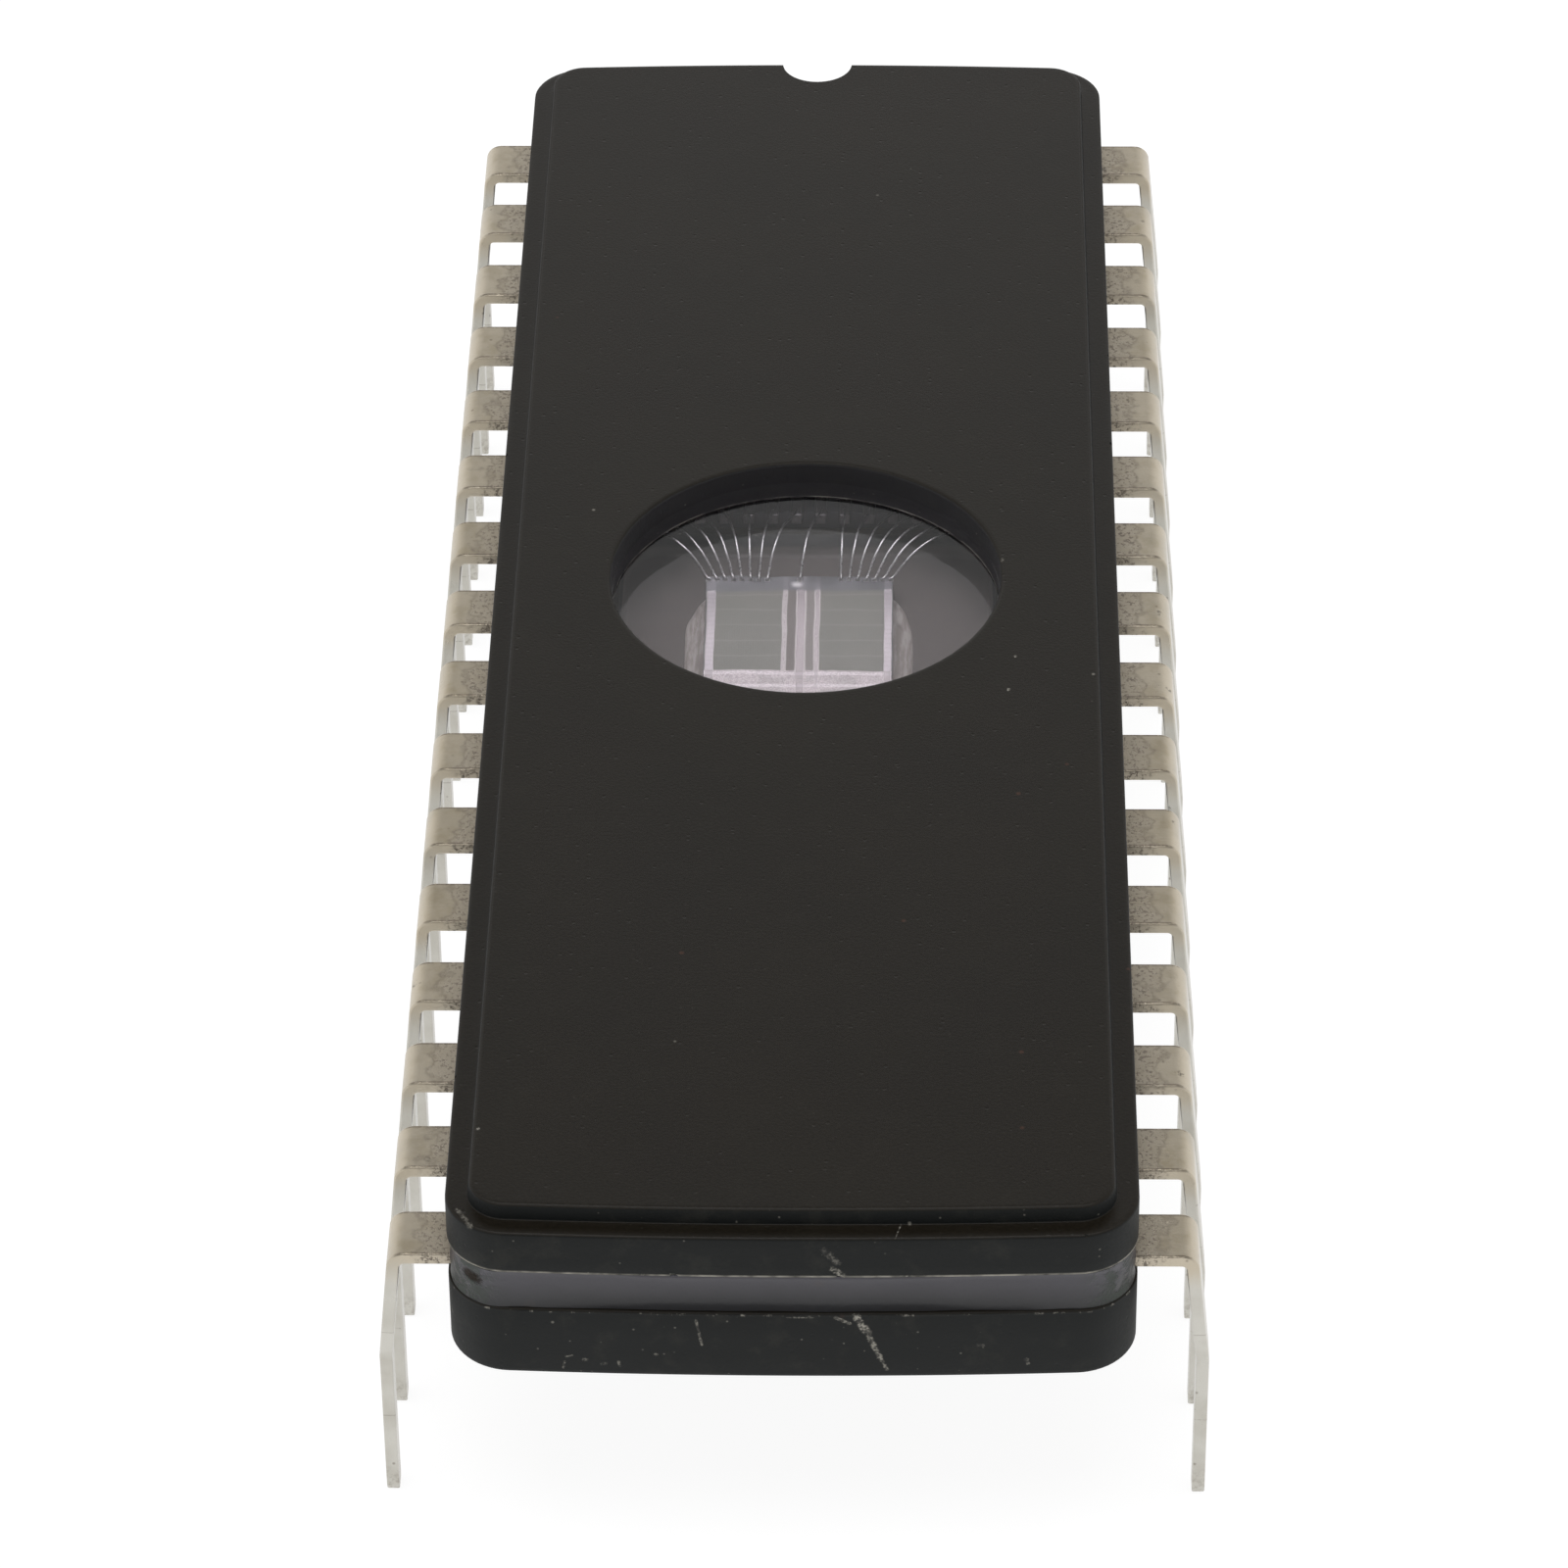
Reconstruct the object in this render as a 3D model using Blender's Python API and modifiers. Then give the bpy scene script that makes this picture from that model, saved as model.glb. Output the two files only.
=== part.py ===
"""Windowed ceramic memory chip with 32 leads, modelled the way its package is put together.

A pressed ceramic base holds the silicon die in a shallow cavity. The lead frame lies in a layer of
sealing glass on the base, and its fingers fan in to the rim of the cavity, where thin aluminium
wires join them to the die. A second layer of glass seals the ceramic cap, and a clear lens fused
into the cap lets ultraviolet light reach the die.

Lengths are metres. Z = 0 is the plane of the lead tips, +Z is up, +Y points to the notched end,
and the body is centred on X = Y = 0.
"""

import math

import bmesh
import bpy

MM = 0.001
COLLECTION_NAME = "eprom_chip"

# Fit between pieces that touch, left as a hairline so that each stays a solid of its own
FIT = 0.01 * MM

# Mesh settings
MERGE_DISTANCE = FIT / 100
SMOOTH_ANGLE = math.radians(16)
SHARP_EDGE_ANGLE = math.radians(50)
EDGE_SEGMENTS = 2

# Lead rows
LEADS_PER_SIDE = 16
LEAD_PITCH = 2.54 * MM
LEAD_THICKNESS = 0.25 * MM
SHOULDER_WIDTH = 1.27 * MM
PIN_WIDTH = 0.47 * MM
PIN_LENGTH = 3.43 * MM
PIN_TIP_CHAMFER = 0.07 * MM
PIN_TIP_LENGTH = 0.14 * MM
TAPER_LENGTH = 1.2 * MM
LEAD_REACH = 0.74 * MM
LEAD_BEND_RADIUS = 0.2 * MM
LEAD_SPLAY = math.radians(5.7)
CREASE_RADIUS = 2.0 * MM
BEND_STEPS = 6
CREASE_STEPS = 2

# Inner fingers of the lead frame
FINGER_RUN_SHARE = 0.42
FINGER_ELBOW_WIDTH = 0.75 * MM
FINGER_NECK_WIDTH = 0.3 * MM
FINGER_TIP_WIDTH = 0.24 * MM
FINGER_TIP_PITCH = 0.52 * MM
FINGER_APPROACH_SHARE = 0.36
FINGER_APPROACH_STEP = 0.2 * MM
FINGER_APPROACH_TURN = math.radians(115)
FINGER_TURN_POWER = 4

# Ceramic body
BODY_WIDTH = 13.12 * MM
BODY_END_MARGIN = 1.825 * MM
BODY_CORNER_RADIUS = 1.15 * MM
STANDOFF = 1.0 * MM
BASE_THICKNESS = 1.63 * MM
BASE_EDGE_RADIUS = 0.1 * MM
GLASS_UNDER_LEADS = 0.17 * MM
GLASS_OVER_LEADS = 0.47 * MM
GLASS_SETBACK = 0.2 * MM
RIM_THICKNESS = 0.98 * MM
RIM_EDGE_RADIUS = 0.05 * MM
PANEL_RISE = 0.33 * MM
PANEL_LEDGE = 0.45 * MM
PANEL_SLOPE = 0.06 * MM
PANEL_EDGE_RADIUS = 0.08 * MM
NOTCH_RADIUS = 0.8 * MM
NOTCH_DEPTH = 1.25 * MM
CORNER_STEPS = 6
NOTCH_STEPS = 8

# Window
WINDOW_DIAMETER = 8.2 * MM
WINDOW_CHAMFER = 0.07 * MM
LENS_RECESS = 0.5 * MM
LENS_MENISCUS_RISE = 0.16 * MM
LENS_MENISCUS_WIDTH = 0.45 * MM
LENS_MENISCUS_STEPS = 4
ROUND_STEPS = 48

# Die and cavity
DIE_WIDTH = 4.0 * MM
DIE_LENGTH = 4.9 * MM
DIE_THICKNESS = 0.45 * MM
DIE_SHIFT = -0.17 * MM
CAVITY_SIDE_ROOM = 2.0 * MM
CAVITY_END_ROOM = 1.55 * MM
CAVITY_DEPTH = 0.55 * MM
CAVITY_CORNER_RADIUS = 0.8 * MM
CAVITY_DRAFT = 0.06 * MM
SHELF_WIDTH = 0.2 * MM
BOND_SHELF = 0.95 * MM
ATTACH_THICKNESS = 0.05 * MM
ATTACH_SPREAD = 0.42 * MM
ATTACH_SLOPE = 0.25 * MM
ATTACH_SQUARENESS = 3.5
ATTACH_STEPS = 40

# Bond wires
WIRE_DIAMETER = 0.04 * MM
WIRE_LOOP = 0.36 * MM
WIRE_FOOT = 0.12 * MM
WIRE_SINK = 0.35
WIRE_STEPS = 5
PAD_PITCH = 0.178 * MM
PAD_SIDE_INSET = 0.05 * MM
PAD_END_INSET = 0.12 * MM
FOOT_SETBACK = 0.16 * MM

# Sizes that follow from the driving ones
ROW_LENGTH = (LEADS_PER_SIDE - 1) * LEAD_PITCH
BODY_LENGTH = ROW_LENGTH + 2 * BODY_END_MARGIN
FINGERS_PER_QUARTER = LEADS_PER_SIDE // 2

BASE_BOTTOM = PIN_LENGTH + STANDOFF
BASE_TOP = BASE_BOTTOM + BASE_THICKNESS
LEAD_TOP = BASE_TOP + GLASS_UNDER_LEADS + LEAD_THICKNESS
CAP_BOTTOM = LEAD_TOP + GLASS_OVER_LEADS
RIM_TOP = CAP_BOTTOM + RIM_THICKNESS
PANEL_TOP = RIM_TOP + PANEL_RISE
LENS_TOP = PANEL_TOP - LENS_RECESS

CAVITY_WIDTH = DIE_WIDTH + 2 * CAVITY_SIDE_ROOM
CAVITY_LENGTH = DIE_LENGTH + 2 * CAVITY_END_ROOM
CAVITY_FLOOR = BASE_TOP - CAVITY_DEPTH
SIDE_ROOM = (BODY_WIDTH - CAVITY_WIDTH) / 2
DIE_BOTTOM = CAVITY_FLOOR + ATTACH_THICKNESS + 2 * FIT
DIE_TOP = DIE_BOTTOM + DIE_THICKNESS

BEND_START = BODY_WIDTH / 2 + LEAD_REACH
BEND_ANGLE = math.pi / 2 - LEAD_SPLAY
BEND_MIDDLE_RADIUS = LEAD_BEND_RADIUS + LEAD_THICKNESS / 2
BEND_LENGTH = BEND_MIDDLE_RADIUS * BEND_ANGLE
CREASE_LENGTH = CREASE_RADIUS * LEAD_SPLAY
CREASE_TOP = PIN_LENGTH + CREASE_RADIUS * math.sin(LEAD_SPLAY)
BEND_FOOT = LEAD_TOP - LEAD_THICKNESS / 2 - BEND_MIDDLE_RADIUS * (1 - math.cos(BEND_ANGLE))
LEG_LENGTH = (BEND_FOOT - CREASE_TOP) / math.cos(LEAD_SPLAY)

# The blank unrolls from the bend outwards: bend, leaning leg, crease, straight pin
LEG_START = BEND_START + BEND_LENGTH
CREASE_START = LEG_START + LEG_LENGTH
PIN_START = CREASE_START + CREASE_LENGTH
BLANK_END = PIN_START + PIN_LENGTH


def material(name, colour, roughness, metallic=0.0, alpha=1.0):
    """A Principled BSDF material with the piece's plain colour."""
    made = bpy.data.materials.new(name)
    made.use_nodes = True
    shader = made.node_tree.nodes["Principled BSDF"]
    shader.inputs["Base Color"].default_value = (*colour, 1.0)
    shader.inputs["Roughness"].default_value = roughness
    shader.inputs["Metallic"].default_value = metallic
    shader.inputs["Alpha"].default_value = alpha
    return made


def add_object(name, mesh, collection):
    """Links a new object that shows this mesh."""
    obj = bpy.data.objects.new(name, mesh)
    collection.objects.link(obj)
    return obj


def finish_mesh(bm, name):
    """Writes a bmesh to a new mesh with its faces turned outwards."""
    bmesh.ops.recalc_face_normals(bm, faces=bm.faces)
    mesh = bpy.data.meshes.new(name)
    bm.to_mesh(mesh)
    bm.free()
    return mesh


def arc(centre, radius, start, end, steps):
    """Points on an arc, both ends included."""
    angles = [start + (end - start) * step / steps for step in range(steps + 1)]
    return [(centre[0] + radius * math.cos(a), centre[1] + radius * math.sin(a)) for a in angles]


def rounded_rectangle(width, length, radius):
    """Counter-clockwise outline of a rectangle with round corners, centred on the origin."""
    across = width / 2 - radius
    along = length / 2 - radius
    quarter = math.pi / 2
    corners = ((across, along), (-across, along), (-across, -along), (across, -along))
    points = []
    for turn, centre in enumerate(corners):
        points += arc(centre, radius, turn * quarter, (turn + 1) * quarter, CORNER_STEPS)
    return points


def body_outline(inset):
    """Plan outline of the ceramic body, moved in by a distance all round."""
    width = BODY_WIDTH - 2 * inset
    length = BODY_LENGTH - 2 * inset
    return rounded_rectangle(width, length, BODY_CORNER_RADIUS - inset)


def cavity_outline(grow):
    """Plan outline of the die cavity, moved out by a distance all round."""
    width = CAVITY_WIDTH + 2 * grow
    length = CAVITY_LENGTH + 2 * grow
    return rounded_rectangle(width, length, CAVITY_CORNER_RADIUS + grow)


def attach_outline(grow):
    """Rounded square, bulging like squeezed paste, round the foot of the die."""
    half_width = DIE_WIDTH / 2 + grow
    half_length = DIE_LENGTH / 2 + grow
    power = 2 / ATTACH_SQUARENESS
    points = []
    for step in range(ATTACH_STEPS):
        angle = 2 * math.pi * step / ATTACH_STEPS
        c = math.cos(angle)
        s = math.sin(angle)
        x = math.copysign(abs(c) ** power, c) * half_width
        y = math.copysign(abs(s) ** power, s) * half_length
        points.append((DIE_SHIFT + x, y))
    return points


def notch_outline(grow):
    """Plan outline of the index notch, open past the end of the body, moved out by a distance."""
    radius = NOTCH_RADIUS + grow
    centre_y = BODY_LENGTH / 2 - NOTCH_DEPTH + NOTCH_RADIUS
    mouth_y = BODY_LENGTH / 2 + NOTCH_RADIUS
    mouth = [(radius, mouth_y), (-radius, mouth_y)]
    return mouth + arc((0, centre_y), radius, math.pi, 2 * math.pi, NOTCH_STEPS)


def stack(name, levels):
    """Closed solid through a stack of outlines with equal point counts, each (outline, height)."""
    bm = bmesh.new()
    rings = [[bm.verts.new((x, y, z)) for x, y in outline] for outline, z in levels]
    for lower, upper in zip(rings, rings[1:]):
        for i in range(len(lower)):
            j = (i + 1) % len(lower)
            bm.faces.new((lower[i], lower[j], upper[j], upper[i]))
    bm.faces.new(list(reversed(rings[0])))
    bm.faces.new(rings[-1])
    return finish_mesh(bm, name)


def prism(name, outline, bottom, top):
    """An outline extruded straight up."""
    return stack(name, [(outline, bottom), (outline, top)])


def turned(name, profile, collection):
    """A profile in the XZ plane, listed from the axis down its outer side, spun round Z."""
    bm = bmesh.new()
    verts = [bm.verts.new((x, 0, z)) for x, z in profile]
    for a, b in zip(verts, verts[1:]):
        bm.edges.new((a, b))
    mesh = bpy.data.meshes.new(name)
    bm.to_mesh(mesh)
    bm.free()
    obj = add_object(name, mesh, collection)
    screw = obj.modifiers.new("spin", "SCREW")
    screw.axis = "Z"
    screw.steps = ROUND_STEPS
    screw.render_steps = ROUND_STEPS
    screw.use_merge_vertices = True
    screw.merge_threshold = MERGE_DISTANCE
    return obj


def soften(obj, width):
    """Rounds the sharp edges."""
    bevel = obj.modifiers.new("rounded_edges", "BEVEL")
    bevel.limit_method = "ANGLE"
    bevel.angle_limit = SHARP_EDGE_ANGLE
    bevel.width = width
    bevel.segments = EDGE_SEGMENTS


def cut(obj, cutter):
    """Takes a cutter's volume out of an object."""
    boolean = obj.modifiers.new("cut_" + cutter.name, "BOOLEAN")
    boolean.operation = "DIFFERENCE"
    boolean.solver = "EXACT"
    boolean.object = cutter


def make_cutter(name, mesh, collection):
    """A helper that only cuts: shown as wire and left out of renders."""
    cutter = add_object(name, mesh, collection)
    hide_cutter(cutter)
    return cutter


def hide_cutter(cutter):
    """Marks an object as a helper."""
    cutter.display_type = "WIRE"
    cutter.hide_render = True


def evaluated_mesh(obj):
    """A plain mesh of what the object's curve or modifiers make."""
    graph = bpy.context.evaluated_depsgraph_get()
    return bpy.data.meshes.new_from_object(obj.evaluated_get(graph))


def shade(obj):
    """Smooth shading between faces that meet at a shallow angle."""
    obj.data.shade_smooth()
    obj.data.set_sharp_from_angle(angle=SMOOTH_ANGLE)


def ribbon(path, widths):
    """Outline of a strip of changing width along a path, with mitred corners."""
    left = []
    right = []
    for i, (x, y) in enumerate(path):
        before = path[max(i - 1, 0)]
        after = path[min(i + 1, len(path) - 1)]
        into = (x - before[0], y - before[1])
        out = (after[0] - x, after[1] - y)
        into = out if i == 0 else into
        out = into if i == len(path) - 1 else out
        into_angle = math.atan2(into[1], into[0])
        turn = math.remainder(math.atan2(out[1], out[0]) - into_angle, 2 * math.pi)
        across = into_angle + turn / 2 + math.pi / 2
        reach = widths[i] / 2 / math.cos(turn / 2)
        left.append((x + reach * math.cos(across), y + reach * math.sin(across)))
        right.append((x - reach * math.cos(across), y - reach * math.sin(across)))
    return left + right[::-1]


def finger_tip(rank):
    """Middle of a finger's end, and the direction its last stretch comes from.

    The tips stand evenly along the rim of the cavity, from the middle of its end round the corner.
    """
    grow = SHELF_WIDTH / 2
    radius = CAVITY_CORNER_RADIUS + grow
    straight = CAVITY_WIDTH / 2 - CAVITY_CORNER_RADIUS
    along = FINGER_TIP_PITCH * (rank + 0.5)
    corner_y = CAVITY_LENGTH / 2 - CAVITY_CORNER_RADIUS
    round_part = max(along - straight, 0) / radius
    x = min(along, straight) + radius * math.sin(round_part)
    y = corner_y + radius * math.cos(round_part)
    share = rank / (FINGERS_PER_QUARTER - 1)
    turn = FINGER_APPROACH_TURN * share**FINGER_TURN_POWER
    return x, y, turn


def finger_path(rank):
    """Middle line of an inner finger from the side of the body to its tip, in the +X +Y quarter."""
    row_y = ROW_LENGTH / 2 - rank * LEAD_PITCH
    tip_x, tip_y, turn = finger_tip(rank)
    approach = FINGER_APPROACH_SHARE * SIDE_ROOM
    approach += FINGER_APPROACH_STEP * (FINGERS_PER_QUARTER - 1 - rank)
    neck = (tip_x + approach * math.sin(turn), tip_y + approach * math.cos(turn))
    elbow = (BODY_WIDTH / 2 - FINGER_RUN_SHARE * SIDE_ROOM, row_y)
    return [(BODY_WIDTH / 2, row_y), elbow, neck, (tip_x, tip_y)]


def finger_widths(grow):
    """Widths of a finger at the points of its path."""
    widths = (SHOULDER_WIDTH, FINGER_ELBOW_WIDTH, FINGER_NECK_WIDTH, FINGER_TIP_WIDTH)
    return [width + 2 * grow for width in widths]


def blank_outline(rank):
    """Flat stamped outline of one lead, pin and finger in one piece."""
    row_y = ROW_LENGTH / 2 - rank * LEAD_PITCH
    stations = (
        (BLANK_END, PIN_WIDTH - 2 * PIN_TIP_CHAMFER),
        (BLANK_END - PIN_TIP_LENGTH, PIN_WIDTH),
        (PIN_START, PIN_WIDTH),
        (PIN_START - TAPER_LENGTH, SHOULDER_WIDTH),
    )
    path = [(u, row_y) for u, _ in stations] + finger_path(rank)
    widths = [width for _, width in stations] + finger_widths(0)
    return ribbon(path, widths)


def fold(u, depth):
    """Where a point of the flat blank lands once the lead is bent: (distance out, height).

    u is the distance out along the blank and depth the distance below its top face. Both bends
    keep the length of the middle of the thickness.
    """
    outward = LEAD_THICKNESS / 2 - depth
    x = min(u, BEND_START)
    z = LEAD_TOP - LEAD_THICKNESS / 2
    heading = 0.0
    left = u - x
    stages = (
        (BEND_LENGTH, BEND_MIDDLE_RADIUS),
        (LEG_LENGTH, None),
        (CREASE_LENGTH, CREASE_RADIUS),
        (PIN_LENGTH, None),
    )
    for length, radius in stages:
        step = min(left, length)
        if radius is None:
            x += step * math.cos(heading)
            z -= step * math.sin(heading)
        else:
            turned_to = heading + step / radius
            x += radius * (math.sin(turned_to) - math.sin(heading))
            z -= radius * (math.cos(heading) - math.cos(turned_to))
            heading = turned_to
        left -= step
    return x + outward * math.sin(heading), z + outward * math.cos(heading)


def fold_lines():
    """Where the blank is scored so that its bends come out round."""
    bend = [BEND_START + BEND_LENGTH * step / BEND_STEPS for step in range(BEND_STEPS + 1)]
    crease = [CREASE_START + CREASE_LENGTH * step / CREASE_STEPS for step in range(CREASE_STEPS + 1)]
    return bend + crease


def lead_mesh(name, rank, side, end):
    """One lead: the blank is scored, given its thickness, folded and turned to its own quarter."""
    bm = bmesh.new()
    bm.faces.new([bm.verts.new((u, y, 0)) for u, y in blank_outline(rank)])
    for u in fold_lines():
        geometry = bm.verts[:] + bm.edges[:] + bm.faces[:]
        bmesh.ops.bisect_plane(
            bm, geom=geometry, plane_co=(u, 0, 0), plane_no=(1, 0, 0), dist=MERGE_DISTANCE
        )
    thick = bmesh.ops.extrude_face_region(bm, geom=bm.faces[:])
    for vert in thick["geom"]:
        if isinstance(vert, bmesh.types.BMVert):
            vert.co.z = -LEAD_THICKNESS
    for vert in bm.verts:
        x, z = fold(vert.co.x, -vert.co.z)
        vert.co = (side * x, end * vert.co.y, z)
    return finish_mesh(bm, name)


def pad_x(rank, side, end):
    """Where a lead's bond pad stands across the die.

    One half of each end row has a pad for every lead. The other half has its last pad in the
    middle of the die, for the supply.
    """
    outermost = DIE_WIDTH / 2 - PAD_SIDE_INSET
    place = outermost - PAD_PITCH * (FINGERS_PER_QUARTER - 1 - rank)
    if rank == 0 and side == end:
        place = 0.0
    return DIE_SHIFT + side * place


def wire_points(rank, side, end):
    """Middle line of a bond wire: flat foot on the pad, low loop, flat foot on the finger."""
    tip_x, tip_y, turn = finger_tip(rank)
    pad = (pad_x(rank, side, end), end * (DIE_LENGTH / 2 - PAD_END_INSET))
    foot = (
        side * (tip_x + FOOT_SETBACK * math.sin(turn)),
        end * (tip_y + FOOT_SETBACK * math.cos(turn)),
    )
    span = math.dist(pad, foot)
    toward = ((foot[0] - pad[0]) / span, (foot[1] - pad[1]) / span)
    radius = WIRE_DIAMETER / 2
    low = DIE_TOP + FIT + radius
    high = LEAD_TOP + radius * WIRE_SINK
    points = [(pad[0] - toward[0] * WIRE_FOOT / 2, pad[1] - toward[1] * WIRE_FOOT / 2, low)]
    for step in range(WIRE_STEPS + 1):
        share = step / WIRE_STEPS
        along = WIRE_FOOT / 2 + (span - WIRE_FOOT) * share
        rise = (high - low) * share + WIRE_LOOP * 4 * share * (1 - share)
        points.append((pad[0] + toward[0] * along, pad[1] + toward[1] * along, low + rise))
    points.append((foot[0] + toward[0] * WIRE_FOOT / 2, foot[1] + toward[1] * WIRE_FOOT / 2, high))
    return points


def wire_mesh(name, points, collection):
    """A round wire along the points, as one closed mesh."""
    curve = bpy.data.curves.new(name, "CURVE")
    curve.dimensions = "3D"
    curve.bevel_depth = WIRE_DIAMETER / 2
    curve.bevel_resolution = 1
    curve.use_fill_caps = True
    spline = curve.splines.new("POLY")
    spline.points.add(len(points) - 1)
    for place, point in zip(spline.points, points):
        place.co = (*point, 1.0)
    obj = add_object(name, curve, collection)
    mesh = evaluated_mesh(obj)
    bpy.data.objects.remove(obj)
    bm = bmesh.new()
    bm.from_mesh(mesh)
    bmesh.ops.remove_doubles(bm, verts=bm.verts, dist=MERGE_DISTANCE)
    bpy.data.meshes.remove(mesh)
    return finish_mesh(bm, name)


def make_lead(number, parts, cutters, finish):
    """Lead by its pin number, counted from the notch down the left row and up the right row."""
    index = number - 1
    side = -1 if index < LEADS_PER_SIDE else 1
    row = index if side < 0 else 2 * LEADS_PER_SIDE - number
    end = 1 if row < FINGERS_PER_QUARTER else -1
    rank = row if end > 0 else LEADS_PER_SIDE - 1 - row
    name = f"lead_{number:02d}"
    lead = add_object(name, lead_mesh(name, rank, side, end), parts)
    wire = add_object(name + "_wire", wire_mesh(name, wire_points(rank, side, end), cutters), cutters)
    weld = lead.modifiers.new("bond", "BOOLEAN")
    weld.operation = "UNION"
    weld.solver = "EXACT"
    weld.object = wire
    joined = evaluated_mesh(lead)
    lead.modifiers.clear()
    lead.data = joined
    bpy.data.objects.remove(wire)
    joined.materials.append(finish)
    shade(lead)


def frame_cutter(cutters):
    """All the grooves that the lead frame leaves in the glass, as one helper."""
    bm = bmesh.new()
    bottom = LEAD_TOP - LEAD_THICKNESS - FIT
    top = LEAD_TOP + LEAD_THICKNESS
    for side in (-1, 1):
        for end in (-1, 1):
            for rank in range(FINGERS_PER_QUARTER):
                path = finger_path(rank)
                neck, tip = path[-2:]
                over = FIT / math.dist(neck, tip)
                past_tip = (tip[0] + (tip[0] - neck[0]) * over, tip[1] + (tip[1] - neck[1]) * over)
                outer = (BEND_START, path[0][1])
                widths = finger_widths(FIT)
                outline = ribbon([outer] + path[:-1] + [past_tip], widths[:1] + widths)
                face = bm.faces.new([bm.verts.new((side * x, end * y, bottom)) for x, y in outline])
                raised = bmesh.ops.extrude_face_region(bm, geom=[face])
                for vert in raised["geom"]:
                    if isinstance(vert, bmesh.types.BMVert):
                        vert.co.z = top
    return make_cutter("lead_frame_grooves", finish_mesh(bm, "lead_frame_grooves"), cutters)


def make_base(parts, cutters, finish):
    """Pressed ceramic tray with the die cavity in its top and half of the index notch."""
    base = add_object("ceramic_base", prism("ceramic_base", body_outline(0), BASE_BOTTOM, BASE_TOP), parts)
    soften(base, BASE_EDGE_RADIUS)
    well = stack(
        "cavity_well",
        [
            (cavity_outline(-CAVITY_DRAFT), CAVITY_FLOOR),
            (cavity_outline(CAVITY_DRAFT), BASE_TOP + CAVITY_DEPTH),
        ],
    )
    cut(base, make_cutter("cavity_well", well, cutters))
    notch = prism("base_notch", notch_outline(0), BASE_BOTTOM - NOTCH_DEPTH, BASE_TOP + NOTCH_DEPTH)
    cut(base, make_cutter("base_notch", notch, cutters))
    base.data.materials.append(finish)
    shade(base)


def make_base_glass(parts, cutters, notch, finish):
    """Glass layer on the base, with the lead frame's grooves and an opening over the cavity."""
    layer = prism("base_glass", body_outline(GLASS_SETBACK), BASE_TOP + FIT, LEAD_TOP)
    glass = add_object("base_glass", layer, parts)
    opening = prism("base_glass_opening", cavity_outline(SHELF_WIDTH), BASE_BOTTOM, CAP_BOTTOM)
    cut(glass, make_cutter("base_glass_opening", opening, cutters))
    cut(glass, notch)
    cut(glass, frame_cutter(cutters))
    glass.data.materials.append(finish)


def make_cap_glass(parts, cutters, notch, finish):
    """Glass layer on the cap, open over the bonding shelf so that the wires stay clear."""
    layer = prism("cap_glass", body_outline(GLASS_SETBACK), LEAD_TOP + FIT, CAP_BOTTOM - FIT)
    glass = add_object("cap_glass", layer, parts)
    opening = prism("cap_glass_opening", cavity_outline(BOND_SHELF), BASE_BOTTOM, RIM_TOP)
    cut(glass, make_cutter("cap_glass_opening", opening, cutters))
    cut(glass, notch)
    glass.data.materials.append(finish)


def make_cap(parts, cutters, finish):
    """Pressed ceramic lid: a raised panel inside a ledge, the window hole and the index notch."""
    levels = [
        (body_outline(0), CAP_BOTTOM),
        (body_outline(0), RIM_TOP - RIM_EDGE_RADIUS),
        (body_outline(RIM_EDGE_RADIUS), RIM_TOP),
        (body_outline(PANEL_LEDGE), RIM_TOP),
        (body_outline(PANEL_LEDGE + PANEL_SLOPE), PANEL_TOP),
    ]
    cap = add_object("ceramic_cap", stack("ceramic_cap", levels), parts)
    soften(cap, PANEL_EDGE_RADIUS)
    radius = WINDOW_DIAMETER / 2
    profile = [
        (0, PANEL_TOP + WINDOW_CHAMFER),
        (radius + 2 * WINDOW_CHAMFER, PANEL_TOP + WINDOW_CHAMFER),
        (radius, PANEL_TOP - WINDOW_CHAMFER),
        (radius, CAP_BOTTOM - WINDOW_CHAMFER),
        (0, CAP_BOTTOM - WINDOW_CHAMFER),
    ]
    hole = turned("window_hole", profile, cutters)
    hide_cutter(hole)
    cut(cap, hole)
    notch = prism("cap_notch", notch_outline(0), LEAD_TOP, PANEL_TOP + NOTCH_DEPTH)
    cut(cap, make_cutter("cap_notch", notch, cutters))
    cap.data.materials.append(finish)
    shade(cap)


def make_lens(parts, finish):
    """Clear disc in the window hole: flat below, dished above where it climbs the wall."""
    radius = WINDOW_DIAMETER / 2 - FIT
    profile = [(0, LENS_TOP)]
    for step in range(LENS_MENISCUS_STEPS + 1):
        share = step / LENS_MENISCUS_STEPS
        out = radius - LENS_MENISCUS_WIDTH * (1 - share)
        profile.append((out, LENS_TOP + LENS_MENISCUS_RISE * share**2))
    profile += [(radius, CAP_BOTTOM), (0, CAP_BOTTOM)]
    lens = turned("window_lens", profile, parts)
    lens.data.materials.append(finish)
    shade(lens)


def make_die(parts, finish):
    """Sawn silicon die, a plain block on its paste."""
    bm = bmesh.new()
    bmesh.ops.create_cube(bm, size=1.0)
    bmesh.ops.scale(bm, vec=(DIE_WIDTH, DIE_LENGTH, DIE_THICKNESS), verts=bm.verts)
    die = add_object("silicon_die", finish_mesh(bm, "silicon_die"), parts)
    die.location = (DIE_SHIFT, 0, DIE_BOTTOM + DIE_THICKNESS / 2)
    die.data.materials.append(finish)


def make_attach(parts, finish):
    """Paste that holds the die, squeezed out round its foot."""
    bottom = CAVITY_FLOOR + FIT
    levels = [
        (attach_outline(ATTACH_SPREAD), bottom),
        (attach_outline(ATTACH_SPREAD - ATTACH_SLOPE), bottom + ATTACH_THICKNESS),
    ]
    paste = add_object("die_attach", stack("die_attach", levels), parts)
    paste.data.materials.append(finish)
    shade(paste)


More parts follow.
